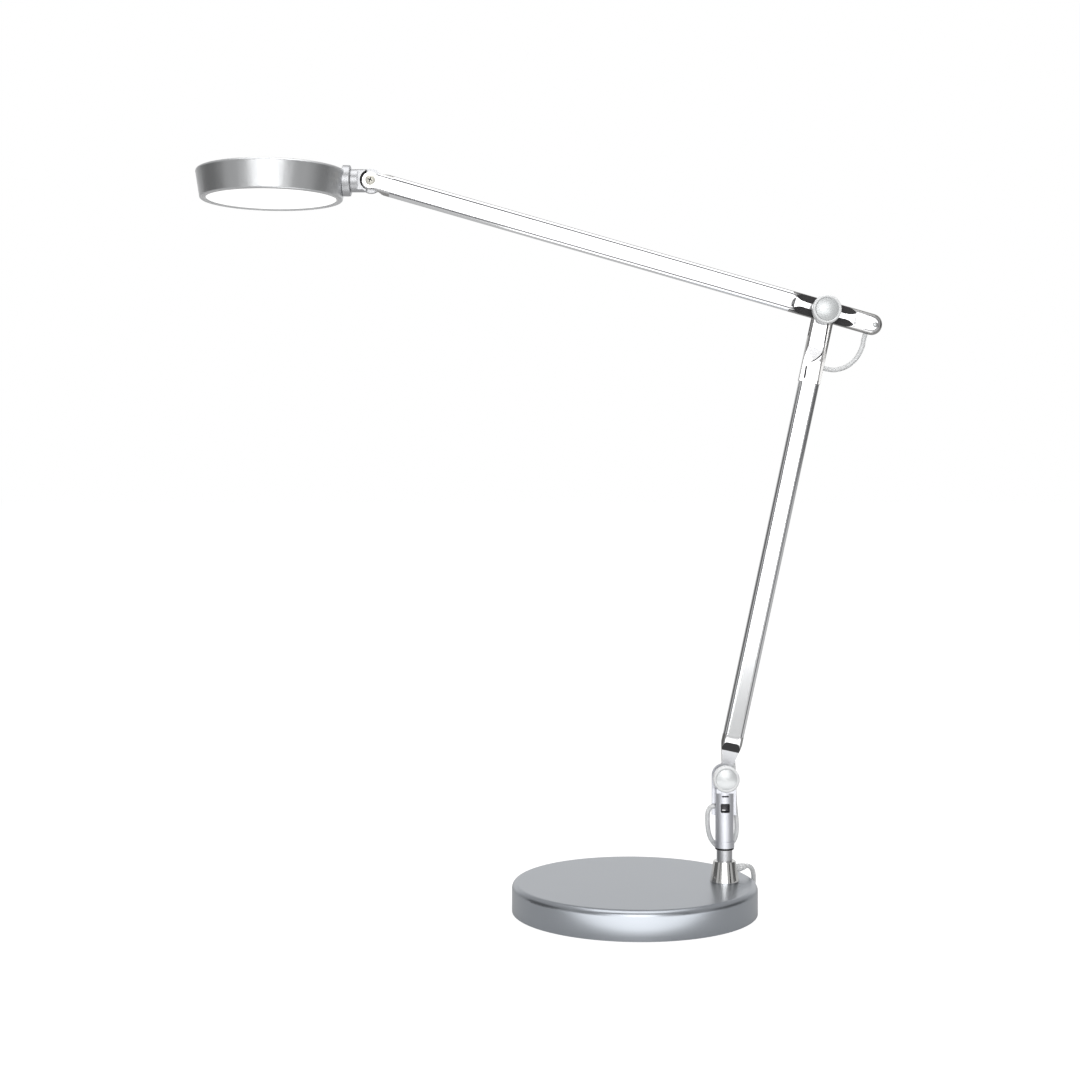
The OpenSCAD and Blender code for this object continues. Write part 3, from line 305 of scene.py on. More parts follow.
finishes = {
    "satin_paint": {"group": fineGrain, "bump": (0.12, 0.00005), "shader": {"Metallic": 1.0, "Coat Weight": 0.12},
                    "pattern": {"Color": (0.395, 0.42, 0.455), "Tint": (0.46, 0.485, 0.52), "Amount": 0.7,
                                "Roughness": 0.30, "Spread": 0.08, "Scale": 2400, "Smudge": 0.25}},
    "polished_tube": {"group": drawnLines, "bump": (0.05, 0.00003), "shader": {"Metallic": 1.0},
                      "pattern": {"Color": (0.84, 0.85, 0.86), "Tint": (0.92, 0.92, 0.93), "Amount": 0.6,
                                  "Roughness": 0.14, "Spread": 0.08, "Angle": math.radians(-16), "Along": 6,
                                  "Across": 1500}},
    "cast_bright": {"group": fineGrain, "bump": (0.08, 0.00005), "shader": {"Metallic": 1.0},
                    "pattern": {"Color": (0.70, 0.70, 0.71), "Tint": (0.80, 0.80, 0.81), "Amount": 0.6,
                                "Roughness": 0.17, "Spread": 0.08, "Scale": 700, "Smudge": 0.6}},
    "satin_steel": {"group": fineGrain, "bump": (0.1, 0.00004), "shader": {"Metallic": 1.0},
                    "pattern": {"Color": (0.56, 0.57, 0.60), "Tint": (0.66, 0.67, 0.70), "Amount": 0.6,
                                "Roughness": 0.27, "Spread": 0.1, "Scale": 1300, "Smudge": 0.4}},
    "zinc_steel": {"group": fineGrain, "bump": (0.15, 0.00006), "shader": {"Metallic": 1.0},
                   "pattern": {"Color": (0.50, 0.52, 0.55), "Tint": (0.64, 0.63, 0.58), "Amount": 0.7,
                               "Roughness": 0.36, "Spread": 0.16, "Scale": 420, "Smudge": 0.5}},
    "cast_weight": {"group": fineGrain, "bump": (0.5, 0.0003), "shader": {"Metallic": 0.6},
                    "pattern": {"Color": (0.06, 0.06, 0.065), "Tint": (0.12, 0.115, 0.11), "Amount": 1,
                                "Roughness": 0.7, "Spread": 0.2, "Scale": 260, "Smudge": 0.3}},
    "black_rubber": {"group": fineGrain, "bump": (0.35, 0.00012), "shader": {"Specular IOR Level": 0.3},
                     "pattern": {"Color": (0.012, 0.012, 0.013), "Tint": (0.03, 0.03, 0.031), "Amount": 0.8,
                                 "Roughness": 0.66, "Spread": 0.15, "Scale": 1500, "Smudge": 0.2}},
    "black_plastic": {"group": fineGrain, "bump": (0.1, 0.00004), "shader": {},
                      "pattern": {"Color": (0.010, 0.009, 0.014), "Tint": (0.022, 0.020, 0.030), "Amount": 0.8,
                                  "Roughness": 0.28, "Spread": 0.12, "Scale": 900, "Smudge": 0.4}},
    "headSilver": {"group": fineGrain, "bump": (0.1, 0.00005), "shader": {"Metallic": 1.0, "Coat Weight": 0.12},
                   "pattern": {"Color": (0.66, 0.67, 0.68), "Tint": (0.73, 0.74, 0.75), "Amount": 0.7,
                               "Roughness": 0.36, "Spread": 0.08, "Scale": 2400, "Smudge": 0.25}},
    # painted shade: a darker grey for the fittings' rims and the fork's side strip, beside their bright faces
    "satinRim": {"group": fineGrain, "bump": (0.06, 0.00003), "shader": {"Metallic": 1.0},
                 "pattern": {"Color": (0.40, 0.395, 0.39), "Tint": (0.50, 0.495, 0.485), "Amount": 0.6,
                             "Roughness": 0.30, "Spread": 0.08, "Scale": 700, "Smudge": 0.6}},
    # the neck's own satin finish; on the lower foot's recessed tongue it is painted shade
    "satinNeck": {"group": fineGrain, "bump": (0.06, 0.00003), "shader": {"Metallic": 1.0},
                  "pattern": {"Color": (0.50, 0.505, 0.52), "Tint": (0.59, 0.595, 0.61), "Amount": 0.6,
                              "Roughness": 0.42, "Spread": 0.08, "Scale": 900, "Smudge": 0.5}},
    "paleScrew": {"group": fineGrain, "bump": (0.06, 0.00003), "shader": {"Metallic": 0.5},
                  "pattern": {"Color": (0.78, 0.76, 0.68), "Tint": (0.84, 0.82, 0.74), "Amount": 0.6,
                              "Roughness": 0.35, "Spread": 0.08, "Scale": 700, "Smudge": 0.5}},
    "knob_plastic": {"group": fineGrain, "bump": (0.03, 0.00003), "shader": {"Coat Weight": 0.3},
                     "pattern": {"Color": (0.86, 0.87, 0.875), "Tint": (0.90, 0.91, 0.915), "Amount": 0.7,
                                 "Roughness": 0.3, "Spread": 0.06, "Scale": 900, "Smudge": 0.5}},
    "knobCap": {"group": fineGrain, "bump": (0.03, 0.00003), "shader": {"Metallic": 0.35, "Coat Weight": 0.2},
                "pattern": {"Color": (0.68, 0.70, 0.705), "Tint": (0.74, 0.755, 0.76), "Amount": 0.7,
                            "Roughness": 0.32, "Spread": 0.06, "Scale": 900, "Smudge": 0.5}},
    "chrome": {"group": fineGrain, "bump": (0.02, 0.00003), "shader": {"Metallic": 1.0},
               "pattern": {"Color": (0.74, 0.74, 0.73), "Tint": (0.80, 0.80, 0.79), "Amount": 0.6,
                           "Roughness": 0.07, "Spread": 0.04, "Scale": 300, "Smudge": 0.6}},
    "lilacSteel": {"group": fineGrain, "bump": (0.05, 0.00003), "shader": {"Metallic": 1.0},
                   "pattern": {"Color": (0.60, 0.61, 0.65), "Tint": (0.68, 0.69, 0.72), "Amount": 0.6,
                               "Roughness": 0.42, "Spread": 0.06, "Scale": 1100, "Smudge": 0.5}},
    "grooveShade": {"group": fineGrain, "shader": {"Specular IOR Level": 0.2},
                    "pattern": {"Color": (0.035, 0.034, 0.036), "Tint": (0.06, 0.058, 0.06), "Amount": 0.7,
                                "Roughness": 0.6, "Spread": 0.1, "Scale": 900, "Smudge": 0.3}},
    "clear_lead": {"group": fineGrain, "bump": (0.06, 0.00004),
                   "shader": {"Transmission Weight": 0.25, "IOR": 1.45, "Coat Weight": 0.3},
                   "pattern": {"Color": (0.88, 0.89, 0.90), "Tint": (0.94, 0.95, 0.95), "Amount": 0.8,
                               "Roughness": 0.25, "Spread": 0.1, "Scale": 600, "Smudge": 0.3}},
    "heat_aluminium": {"group": fineGrain, "bump": (0.1, 0.00005), "shader": {"Metallic": 1.0},
                       "pattern": {"Color": (0.70, 0.71, 0.72), "Tint": (0.80, 0.80, 0.81), "Amount": 0.6,
                                   "Roughness": 0.34, "Spread": 0.1, "Scale": 500, "Smudge": 0.4}},
    "board_white": {"group": fineGrain, "bump": (0.05, 0.00003), "shader": {},
                    "pattern": {"Color": (0.82, 0.83, 0.82), "Tint": (0.88, 0.88, 0.87), "Amount": 0.6,
                                "Roughness": 0.42, "Spread": 0.08, "Scale": 800, "Smudge": 0.2}},
    "led_phosphor": {"group": fineGrain, "bump": (0.1, 0.00005), "shader": {},
                     "pattern": {"Color": (0.80, 0.66, 0.20), "Tint": (0.88, 0.78, 0.38), "Amount": 0.8,
                                 "Roughness": 0.5, "Spread": 0.1, "Scale": 1500, "Smudge": 0.2}},
    "bezel_white": {"group": fineGrain, "bump": (0.04, 0.00003), "shader": {"Coat Weight": 0.2},
                    "pattern": {"Color": (0.80, 0.81, 0.83), "Tint": (0.86, 0.87, 0.88), "Amount": 0.6,
                                "Roughness": 0.25, "Spread": 0.06, "Scale": 900, "Smudge": 0.2}},
    "opal_diffuser": {"group": fineGrain, "bump": (0.04, 0.00004),
                      "shader": {"Emission Color": (1, 0.995, 0.98), "Emission Strength": 0.85},
                      "pattern": {"Color": (0.84, 0.85, 0.86), "Tint": (0.9, 0.9, 0.91), "Amount": 0.6,
                                  "Roughness": 0.4, "Spread": 0.08, "Scale": 1100, "Smudge": 0.2}},
}
materials = {name: newMaterial(name, values) for name, values in finishes.items()}
tubes = {"lower_tube": {"finish": "drawnLower", "from": (0.0845, 0.126), "to": (0.1782, 0.56307)},
         "upper_tube": {"finish": "drawnUpper", "from": (0.1782, 0.56307), "to": (-0.24764, 0.68518)},
         # line is the dark colour of the two painted shade lines along each tube; inset and width place them across
         # it
         "line": (0.16, 0.16, 0.17), "inset": 0.007, "width": 0.00055}
nodeFinish = {"lower_knob_cap": "knobCap", "elbow_knob_cap": "knobCap", "post_cone": "chrome",
              "swivel_sleeve": "lilacSteel", "head_housing": "headSilver", "head_neck": "satinNeck",
              "head_collar": "satinNeck", "post_spindle": "satinNeck", "hinge_screw": "paleScrew"}


def tubeMaterial(ends, values):
    # polished tube whose drawn lines and two dark lines of painted shade follow its own axis in the XZ plane
    (x0, z0), (x1, z1) = ends["from"], ends["to"]
    angle = math.atan2(z1 - z0, x1 - x0)
    polished = finishes["polished_tube"]
    material = newMaterial(ends["finish"], {**polished, "pattern": {**polished["pattern"], "Angle": angle}})
    tree = material.node_tree
    color = tree.nodes["Principled BSDF"].inputs["Base Color"]
    lines = addNode(tree, "ShaderNodeGroup", node_tree=edgeLines)
    setInputs(tree, lines, {"Angle": angle, "Middle": z0 * math.cos(angle) - x0 * math.sin(angle),
                            "Inset": values["inset"], "Width": values["width"]})
    mix = addNode(tree, "ShaderNodeMix", {0: lines.outputs["Mask"], 6: color.links[0].from_socket,
                                          7: values["line"]}, data_type="RGBA")
    tree.links.new(mix.outputs[2], color)
    return material


for node in ("lower_tube", "upper_tube"):
    nodeFinish[node] = tubes[node]["finish"]
    materials[nodeFinish[node]] = tubeMaterial(tubes[node], tubes)
for name, node in nodes.items():
    for place in node.material_slots:
        own = place.material.name.split(".")[0]
        place.material = materials[nodeFinish.get(name, own)]
print("finishes set:", len(materials))

# softened fittings
softened = {  # node: (edge round in mm, least edge angle in degrees)
    "lower_fork": (0.5, 28), "upper_tail": (0.45, 28), "upper_tip": (0.4, 28), "lower_foot": (0.4, 28),
    "head_neck": (0.35, 32), "head_collar": (0.5, 30), "swivel_sleeve": (0.3, 32), "post_cone": (0.3, 32),
    "switch_frame": (0.2, 35), "switch_rocker": (0.25, 35), "plug_body": (0.5, 35), "plug_pins": (0.2, 35),
    "base_plate": (0.25, 35), "base_pad": (0.25, 35), "thrust_ring": (0.2, 35),
}
merging = {"apart": 0.004, "flatWithin": 0.6, "smoothWithin": 35}


def only(piece):
    bpy.ops.object.select_all(action="DESELECT")
    piece.select_set(True)
    bpy.context.view_layer.objects.active = piece


def cordCurve(name, line, diameter, steps=6, sides=5):
    data = bpy.data.curves.new(name, "CURVE")
    data.dimensions = "3D"
    data.resolution_u = steps
    data.bevel_depth = diameter / 2
    data.bevel_resolution = sides
    data.use_fill_caps = True
    spline = data.splines.new("BEZIER")
    spline.bezier_points.add(len(line) - 1)
    for point, place in zip(spline.bezier_points, line):
        point.co = place
        point.handle_left_type = point.handle_right_type = "AUTO"
    curve = bpy.data.objects.new(name, data)
    bpy.context.collection.objects.link(curve)
    return curve


def asMesh(piece):
    only(piece)
    bpy.ops.object.convert(target="MESH")
    bpy.ops.object.shade_smooth()
    return piece


def joinedCopy(node):
    # a copy of the CAD node whose loose triangles are merged into whole faces
    only(nodes[node])
    bpy.ops.object.duplicate()
    piece = bpy.context.active_object
    first, second = node.split("_")
    piece.name = first + second.capitalize()
    del piece["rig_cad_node"]
    bpy.ops.object.mode_set(mode="EDIT")
    bpy.ops.mesh.select_all(action="SELECT")
    bpy.ops.mesh.remove_doubles(threshold=merging["apart"] * mm)
    bpy.ops.mesh.dissolve_limited(angle_limit=math.radians(merging["flatWithin"]))
    bpy.ops.object.mode_set(mode="OBJECT")
    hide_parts(node)
    return piece


def finishWith(piece, kind, **values):
    # adds a modifier and applies it
    only(piece)
    modifier = piece.modifiers.new(kind.lower(), kind)
    for label, value in values.items():
        setattr(modifier, label, value)
    bpy.ops.object.modifier_apply(modifier=modifier.name)


def roundEdges(piece, width, angle, segments=2):
    finishWith(piece, "BEVEL", width=width * mm, segments=segments, limit_method="ANGLE",
               angle_limit=math.radians(angle), use_clamp_overlap=True, miter_outer="MITER_ARC")
    bpy.ops.object.shade_smooth_by_angle(angle=math.radians(merging["smoothWithin"]))


def evenShading(piece):
    finishWith(piece, "WEIGHTED_NORMAL", weight=50, keep_sharp=True)


def paintFaces(piece, name, chosen):
    # the faces that chosen(face) picks get the finish
    piece.data.materials.append(materials[name])
    for face in piece.data.polygons:
        if chosen(face):
            face.material_index = len(piece.data.materials) - 1


soft = {}
for node, (width, angle) in softened.items():
    soft[node] = joinedCopy(node)
    roundEdges(soft[node], width, angle)
print("fittings softened:", len(soft))

# arm fittings
# lengths in mm, angles in degrees
arms = {"elbow": (178.2, 0, 563.07), "lowerPivot": (84.5, 0, 126.0), "lean": 12.1, "rise": 16.0, "upperLength": 443,
        # a face whose normal has less of Y than this belongs to a fitting's rim, which is painted a darker grey as
        # shade
        "faceFlat": 0.85}

elbow = Vector(arms["elbow"]) * mm
lowerPivot = Vector(arms["lowerPivot"]) * mm
hinge = elbow + Vector((-arms["upperLength"] * math.cos(math.radians(arms["rise"])), 0,
                        arms["upperLength"] * math.sin(math.radians(arms["rise"])))) * mm
downwards = -90 - arms["lean"]


def armPoint(values, degrees, along, y, across):
    # a point of an arm whose axis leaves the elbow at this angle in the XZ plane
    turn = math.radians(degrees)
    x = values["elbow"][0] + along * math.cos(turn) + across * math.sin(turn)
    z = values["elbow"][2] + along * math.sin(turn) - across * math.cos(turn)
    return Vector((x, y, z)) * mm


def away(face, centre):
    # distance in mm from a pivot, in the plane of the arms
    return math.hypot(face.center.x - centre.x, face.center.z - centre.z) / mm


def isRim(face):
    return abs(face.normal.y) < arms["faceFlat"]


def cutWith(piece, cutter):
    # what the cutter leaves is dark
    cutter.data.materials.append(materials["grooveShade"])
    finishWith(piece, "BOOLEAN", operation="DIFFERENCE", object=cutter, solver="EXACT", material_mode="TRANSFER")
    bpy.data.objects.remove(cutter)

# fork
# along and across are distances from the elbow, along the lower arm and away from its axis
forkParts = {
    "face": [(34, 7.0), (48, 5.0)],  # where the face steps down: along and height over the middle
    "sideStrip": 6, "leastArea": 2,
    # grooves: places along and across, radius of the cutter
    "grooves": {"sideLine": ([(-12, 4.4), (13, 5.0), (30, 5.7), (48, 6.6), (70, 7.4)], 0.75),
                "cheekEnd": ([(49.6, -2.6), (47.6, 0.2), (44.6, 3.0), (41, 5.2), (38, 5.9)], 0.6),
                "slot": ([(54.5, -6.2), (66, -5.6)], 0.85)},
}


def forkLevel(values, along):
    # height of the fork's face over the middle
    (near, high), (far, low) = values["face"]
    share = min(max((along - near) / (far - near), 0), 1)
    return high + (low - high) * share


def cutGrooves(piece, values, degrees):
    # a round cutter laid along each face leaves a groove
    for path, radius in values["grooves"].values():
        for side in (-1, 1):
            line = [armPoint(arms, degrees, along, side * forkLevel(values, along), -across)
                    for along, across in path]
            cutWith(piece, asMesh(cordCurve("cutter", line, 2 * radius * mm, 4, 2)))


def finishFork(piece, values):
    start = armPoint(arms, downwards, 0, 0, 0)
    sideways = (armPoint(arms, downwards, 0, 0, -1) - start).normalized()
    # the rims are painted a darker grey as shade
    paintFaces(piece, "satinRim", isRim)
    cutGrooves(piece, values, downwards)
    # the flat strip beyond the side groove is painted the darker grey as shade too
    paintFaces(piece, "satinRim", lambda face: abs(face.normal.y) > arms["faceFlat"]
               and face.area > values["leastArea"] * mm * mm
               and (face.center - start).dot(sideways) > values["sideStrip"] * mm)
    evenShading(piece)


finishFork(soft["lower_fork"], forkParts)

# tail
# the bottle-shaped necks: distance from the elbow and half width
tailParts = {
    "neck": {"steps": [(19.5, 2.6), (22, 2.7), (24.5, 3.1), (26.5, 4.0), (28.5, 5.0), (31, 5.6), (36, 5.6)],
             "halfThick": 5.0},
    "innerNeck": {"steps": [(12, 2.6), (16, 2.6), (20, 2.6)], "halfThick": 3.3},
    "stripDeep": 0.2, "edgeRound": (0.4, 50), "recessHalf": 4.7, "recessEnd": 30.5,
}


def bottleNeck(values, degrees, steps, halfThick):
    # a strip grown step by step from the neck to the shoulders, then made thick
    first, width = steps[0]
    place = armPoint(arms, degrees, first, -halfThick, 0)
    bpy.ops.mesh.primitive_plane_add(size=1, location=place,
                                     rotation=(math.radians(90), math.radians(-degrees), 0))
    piece = bpy.context.active_object
    piece.scale = (values["stripDeep"] * mm, 2 * width * mm, 1)
    bpy.ops.object.transform_apply(location=True, rotation=True, scale=True)
    step = armPoint(arms, degrees, 1, 0, 0) - armPoint(arms, degrees, 0, 0, 0)
    ahead = step.normalized()
    nearby = values["stripDeep"] / 4 * mm
    for (here, wide), (there, wider) in zip(steps, steps[1:]):
        bpy.ops.object.mode_set(mode="OBJECT")
        furthest = max(ahead.dot(point.co) for point in piece.data.vertices) - nearby
        for face in piece.data.polygons:
            face.select = False
        for point in piece.data.vertices:
            point.select = ahead.dot(point.co) > furthest
        for edge in piece.data.edges:
            edge.select = all(ahead.dot(piece.data.vertices[i].co) > furthest for i in edge.vertices)
        bpy.ops.object.mode_set(mode="EDIT")
        bpy.ops.mesh.select_mode(type="EDGE")
        bpy.ops.mesh.extrude_edges_move(TRANSFORM_OT_translate={"value": step * (there - here)})
        middle = armPoint(arms, degrees, there, -halfThick, 0)
        bpy.ops.transform.resize(value=(wider / wide,) * 3, center_override=middle)
    bpy.ops.mesh.select_all(action="SELECT")
    bpy.ops.mesh.extrude_region_move(TRANSFORM_OT_translate={"value": (0, 2 * halfThick * mm, 0)})
    bpy.ops.mesh.select_all(action="SELECT")
    bpy.ops.mesh.normals_make_consistent(inside=False)
    bpy.ops.object.mode_set(mode="OBJECT")
    roundEdges(piece, *values["edgeRound"])
    piece.data.materials.append(materials["cast_bright"])
    return piece


def joinInto(piece, others):
    only(piece)
    for other in others:
        other.select_set(True)
    bpy.ops.object.join()


def finishTail(piece, values):
    # painted shade: the rims a darker grey, the recessed tongue near the knob near black
    paintFaces(piece, "satinRim", isRim)
    paintFaces(piece, "grooveShade", lambda face: abs(face.center.y) < values["recessHalf"] * mm
               and abs(face.normal.y) > 0.5 and away(face, elbow) < values["recessEnd"])
    necks = [bottleNeck(values, degrees, **values[name]) for degrees in (-arms["rise"], 180 - arms["rise"])
             for name in ("neck", "innerNeck")]
    joinInto(piece, necks)
    evenShading(piece)


finishTail(soft["upper_tail"], tailParts)

# foot and tip
footParts = {"tongueHalf": 3, "rampHalf": 4.7, "rampAlong": 0.15}


def finishFoot(piece, values):
    upward = (elbow - lowerPivot).normalized()
    # painted shade and reflection: the rims a darker grey, the recessed tongue's flats the neck's grey, the ramp
    # down to it near black
    paintFaces(piece, "satinRim", isRim)
    paintFaces(piece, "satinNeck", lambda face: abs(face.center.y) < values["tongueHalf"] * mm
               and abs(face.normal.y) > 0.95)
    paintFaces(piece, "grooveShade", lambda face: 0.5 < abs(face.normal.y) < 0.99
               and values["tongueHalf"] * mm < abs(face.center.y) < values["rampHalf"] * mm
               and abs(face.normal.dot(upward)) > values["rampAlong"])
    evenShading(piece)


def finishTip(piece):
    # the rims are painted a darker grey as shade
    paintFaces(piece, "satinRim", isRim)
    evenShading(piece)


finishFoot(soft["lower_foot"], footParts)
finishTip(soft["upper_tip"])

# head hinge and housing
neckParts = {"radius": 9.8, "deep": 5.5, "middle": -5.6, "shadeWithin": 8.8, "shadeFrom": -5.7, "shadeTo": -0.5}


def finishNeck(piece, values):
    # a counterbore round the eye, dark inside
    bpy.ops.mesh.primitive_cylinder_add(vertices=64, radius=values["radius"] * mm, depth=values["deep"] * mm,
                                        rotation=(math.radians(90), 0, 0),
                                        location=hinge + Vector((0, values["middle"] * mm, 0)))
    cutWith(piece, bpy.context.active_object)
    paintFaces(piece, "grooveShade", lambda face: away(face, hinge) < values["shadeWithin"]
               and values["shadeFrom"] * mm < face.center.y < values["shadeTo"] * mm)


finishNeck(soft["head_neck"], neckParts)

screwParts = {"crossWithin": 2.5, "crossFloor": -5.9, "headFace": -5.7, "edgeRound": (0.12, 40)}


def finishScrew(piece, values):
    # the cross is dark
    paintFaces(piece, "grooveShade", lambda face: away(face, hinge) < values["crossWithin"]
               and face.center.y < values["headFace"] * mm
               and (abs(face.normal.y) < 0.5 or face.center.y > values["crossFloor"] * mm))
    roundEdges(piece, *values["edgeRound"])


finishScrew(joinedCopy("hinge_screw"), screwParts)

housingParts = {"x": -340.8, "outside": 66.0, "round": 1.3, "segments": 4, "smoothWithin": 30, "reach": 0.05}


def finishHousing(piece, values):
    # the outer edge of the rim's underside is rounded
    points = piece.data.vertices
    lowest = min(point.co.z for point in points)
    for edge in piece.data.edges:
        ends = [points[i].co for i in edge.vertices]
        edge.select = all(end.z < lowest + values["reach"] * mm
                          and math.hypot(end.x - values["x"] * mm, end.y) > values["outside"] * mm for end in ends)
    for face in piece.data.polygons:
        face.select = False
    bpy.ops.object.mode_set(mode="EDIT")
    bpy.ops.mesh.select_mode(type="EDGE")
    bpy.ops.mesh.bevel(offset=values["round"] * mm, segments=values["segments"], affect="EDGES")
    bpy.ops.object.mode_set(mode="OBJECT")
    bpy.ops.object.shade_smooth_by_angle(angle=math.radians(values["smoothWithin"]))
    evenShading(piece)


finishHousing(joinedCopy("head_housing"), housingParts)
for node in ("head_neck", "head_collar", "swivel_sleeve", "plug_body"):
    evenShading(soft[node])
print("arm fittings finished")

# sleeve's slot and switch rocker: a dark bar in the slot is painted shade, a pale bar on the rocker a painted
# highlight
sleeveParts = {"slot": {"place": (84.5, -8.3, 108.4), "size": (6.2, 0.5, 1.3)},
               # lens: the pale bar on the rocker, a painted highlight
               "lens": {"place": (83.0, -7.8, 95.7), "size": (3.0, 0.8, 1.4)},
               "roundShare": 0.45}


def flatBar(name, values, finish, body):
    # a rounded bar lying on the sleeve's face
    bpy.ops.mesh.primitive_cube_add(size=1, location=[v * mm for v in values["place"]])
    piece = bpy.context.active_object
    piece.name = name
    piece.scale = [v * mm for v in values["size"]]
    bpy.ops.object.transform_apply(location=True, rotation=True, scale=True)
    bpy.ops.object.mode_set(mode="EDIT")
    bpy.ops.mesh.select_all(action="SELECT")
    bpy.ops.mesh.subdivide(number_cuts=2)
    bpy.ops.object.mode_set(mode="OBJECT")
    roundEdges(piece, min(values["size"]) * sleeveParts["roundShare"], 60, 3)
    piece.data.materials.append(materials[finish])
    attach(piece, body)


# a dark bar painted in the slot as its shade, and a pale bar painted on the rocker as a highlight
flatBar("sleeveSlot", sleeveParts["slot"], "grooveShade", "swivel")
flatBar("switchLens", sleeveParts["lens"], "knob_plastic", "rocker")
print("sleeve details added")

# ribbed strain relief
relief = {"foot": (84.5, 0, 37.0), "direction": (0.7071, 0.7071, 0), "sides": 40, "edgeRound": (0.25, 30),
          # distance from the post's axis and radius
          "profile": [(8, 4.1), (13.3, 4.1), (13.4, 5.0), (15.0, 5.0), (15.4, 3.5), (16.4, 3.5), (17.1, 4.1),
                      (19.1, 4.0), (19.8, 3.3), (21.0, 3.3), (21.7, 3.8), (23.5, 3.65), (24.2, 3.0), (25.4, 3.0),
                      (26.1, 3.4), (27.8, 3.2), (30.4, 2.75)]}


def turned(name, values, finish):
    # a disc grown along its axis step by step, as on a lathe
    first, radius = values["profile"][0]
    bpy.ops.mesh.primitive_circle_add(vertices=values["sides"], radius=radius * mm, fill_type="NGON",
                                      location=(0, 0, first * mm))
    piece = bpy.context.active_object
    piece.name = name
    bpy.ops.object.transform_apply(location=True, rotation=True, scale=True)
    bpy.ops.object.mode_set(mode="EDIT")
    bpy.ops.mesh.select_all(action="SELECT")
    for (here, wide), (there, wider) in zip(values["profile"], values["profile"][1:]):
        bpy.ops.mesh.extrude_region_move(TRANSFORM_OT_translate={"value": (0, 0, (there - here) * mm)})
        bpy.ops.transform.resize(value=(wider / wide, wider / wide, 1), center_override=(0, 0, there * mm))
    bpy.ops.mesh.select_all(action="DESELECT")
    bpy.ops.mesh.select_mode(type="EDGE")
    bpy.ops.mesh.select_non_manifold()
    bpy.ops.mesh.edge_face_add()
    bpy.ops.mesh.select_all(action="SELECT")
    bpy.ops.mesh.normals_make_consistent(inside=False)
    bpy.ops.object.mode_set(mode="OBJECT")
    piece.rotation_euler = Vector(values["direction"]).to_track_quat("Z", "Y").to_euler()
    piece.location = Vector(values["foot"]) * mm
    bpy.ops.object.transform_apply(location=True, rotation=True, scale=True)
    roundEdges(piece, *values["edgeRound"])
    piece.data.materials.append(materials[finish])
    return piece


ribbed = turned("strainRelief", relief, "clear_lead")
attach(ribbed, "base")
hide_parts("strain_relief")
print("strain relief turned")

# the lead
lead = {  # diameter, exit and length in metres, the rest in mm
    "diameter": 0.0044, "exit": (0.106, 0.0215, 0.037), "length": 1.56, "tableGap": 2.2,
    "start": [(106, 21.5, 37), (110, 25.6, 36.4), (113.6, 30.6, 33), (116, 36.4, 27), (117, 42, 20), (117, 47.6, 13),
              (115.6, 54, 7), (112.6, 62, 3.4), (108, 70.6, 2.35), (100, 82, 2.3), (88.6, 94, 2.2), (75, 104.4, 2.2),
              (60, 112.6, 2.2), (44, 118.6, 2.2), (28, 121.6, 2.2)],
    "coilPlace": (8, 158), "turns": 4, "pitch": 4.87, "outRadius": 36.14, "steps": 24,
    "end": [(-4, 121.8, 7), (-12, 121.8, 5.6), (-20, 122.6, 3.2), (-28, 124.6, 2.8), (-34, 125.8, 4.8),
            (-39.2, 126, 6.4), (-41, 126, 6.5)],
}


def coilPoint(values, turn):
    # in along the lower layer, then out along the upper one
    back = abs(turn - values["turns"])
    radius = values["outRadius"] - values["pitch"] * (values["turns"] - back)
    climb = min(max((turn - values["turns"]) * 2 + 0.5, 0), 1)
    angle = math.radians(-90 - 360 * turn)
    x, y = values["coilPlace"]
    return (x + radius * math.cos(angle), y + radius * math.sin(angle), values["tableGap"] + climb * values["pitch"])


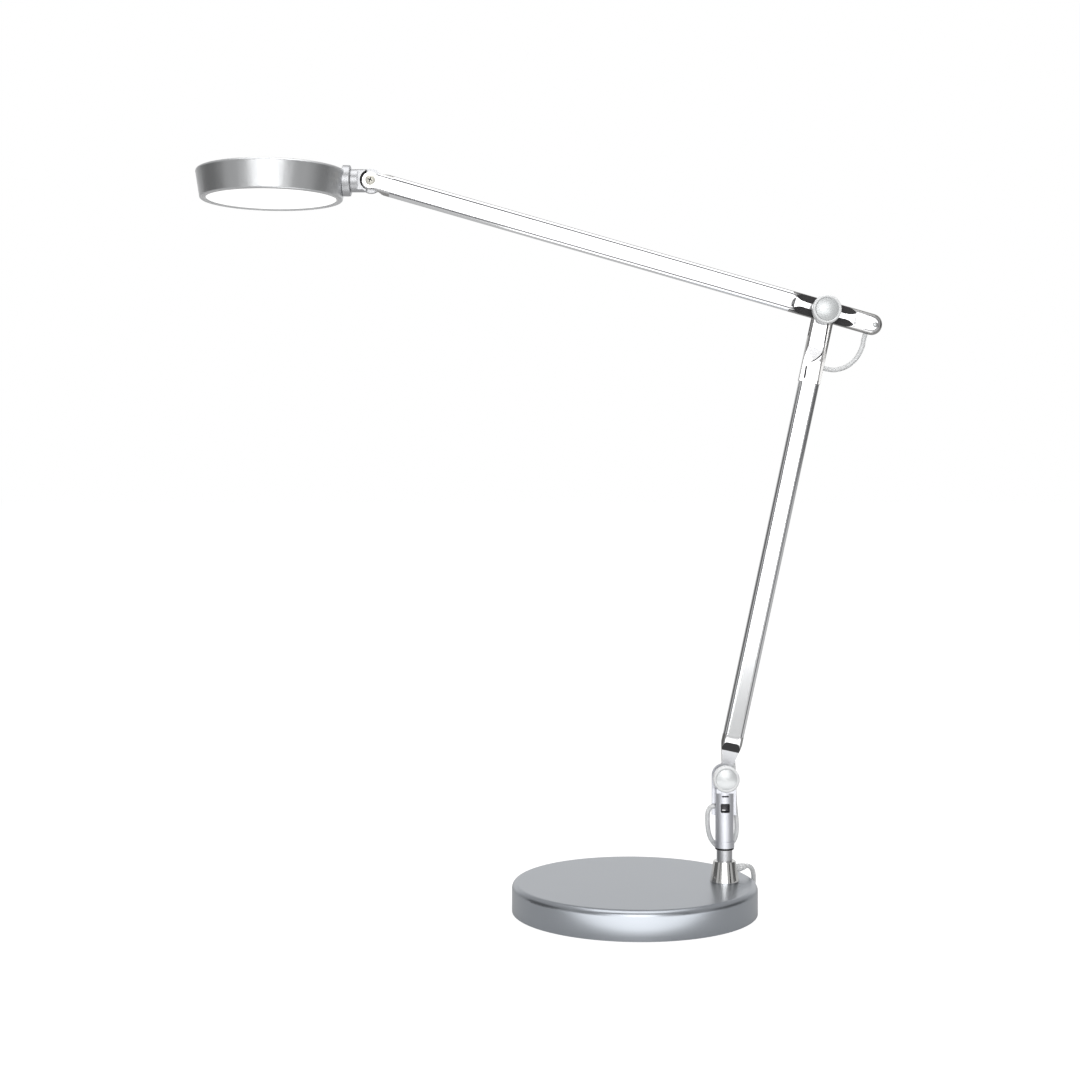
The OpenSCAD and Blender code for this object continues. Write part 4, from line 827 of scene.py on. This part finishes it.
def leadLine(values):
    x, y = values["coilPlace"]
    straight = values["diameter"] / mm
    low, high = values["tableGap"], values["tableGap"] + values["pitch"]
    coil = [coilPoint(values, step / values["steps"]) for step in range(2 * values["turns"] * values["steps"] + 1)]
    line = (values["start"] + [(x + straight, y - values["outRadius"], low)] + coil
            + [(x - straight, y - values["outRadius"], high)] + values["end"])
    return [Vector(point) * mm for point in line]


mainsLead = cordCurve("mainsLead", leadLine(lead), lead["diameter"])
mainsLead.data.materials.append(materials["clear_lead"])
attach(mainsLead, "base")
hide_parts("mains_cord", "cord_coil", "cord_end")
print("mains lead laid")

# cable loops over the joints
# start and end are where each body holds the loop, in metres; line is in mm from the pivot
loops = {
    "lowerLoop": {"node": "lower_cable_loop", "pivot": (84.5, 0, 126), "bodies": ("swivel", "arm_low"),
                  "start": (0.0960, 0.0128, 0.100), "end": (0.0920, 0.0060, 0.158),
                  "line": [(-8.7, 3, -28.6), (-12.5, 3.1, -29.4), (-14.9, 3.6, -33), (-15.5, 4.8, -39),
                           (-15.1, 6.4, -47), (-13.9, 8.4, -54.6), (-10.9, 10.6, -62), (-6.1, 12.4, -67.4),
                           (0, 13.2, -69.4), (6.1, 13, -67.2), (10.7, 12.4, -61.6), (12.7, 12.2, -53.4),
                           (12.5, 12.4, -43), (11.5, 12.8, -31), (10.7, 13.2, -17), (10.3, 13.6, -2),
                           (9.5, 13.6, 12), (8.5, 12.8, 23), (7.8, 10.6, 31), (7.5, 8, 34.6), (7.5, 6.2, 35.4),
                           (7.5, 5.04, 35.4)]},
    "elbowLoop": {"node": "elbow_cable_loop", "pivot": (178.2, 0, 563.07), "bodies": ("arm_up", "arm_low"),
                  "start": (0.2155, 0, 0.5370), "end": (0.1813, 0, 0.5083),
                  "line": [(38.5, 0, -21.67), (37.3, 0, -25.87), (35.8, 0, -33.07), (32.8, 0, -40.07),
                           (28.2, 0, -46.47), (21.8, 0, -51.67), (14.4, 0, -54.67), (7.8, 0, -55.47),
                           (3.1, 0, -54.77), (-1.1, 0, -53.87)]},
}


for name, values in loops.items():
    line = [(Vector(values["pivot"]) + Vector(point)) * mm for point in values["line"]]
    loop = cordCurve(name, line, lead["diameter"])
    bpy.context.view_layer.update()
    loop.data.materials.append(materials["clear_lead"])
    asMesh(loop)
    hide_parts(values["node"])
    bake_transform(loop)
print("cable loops laid")
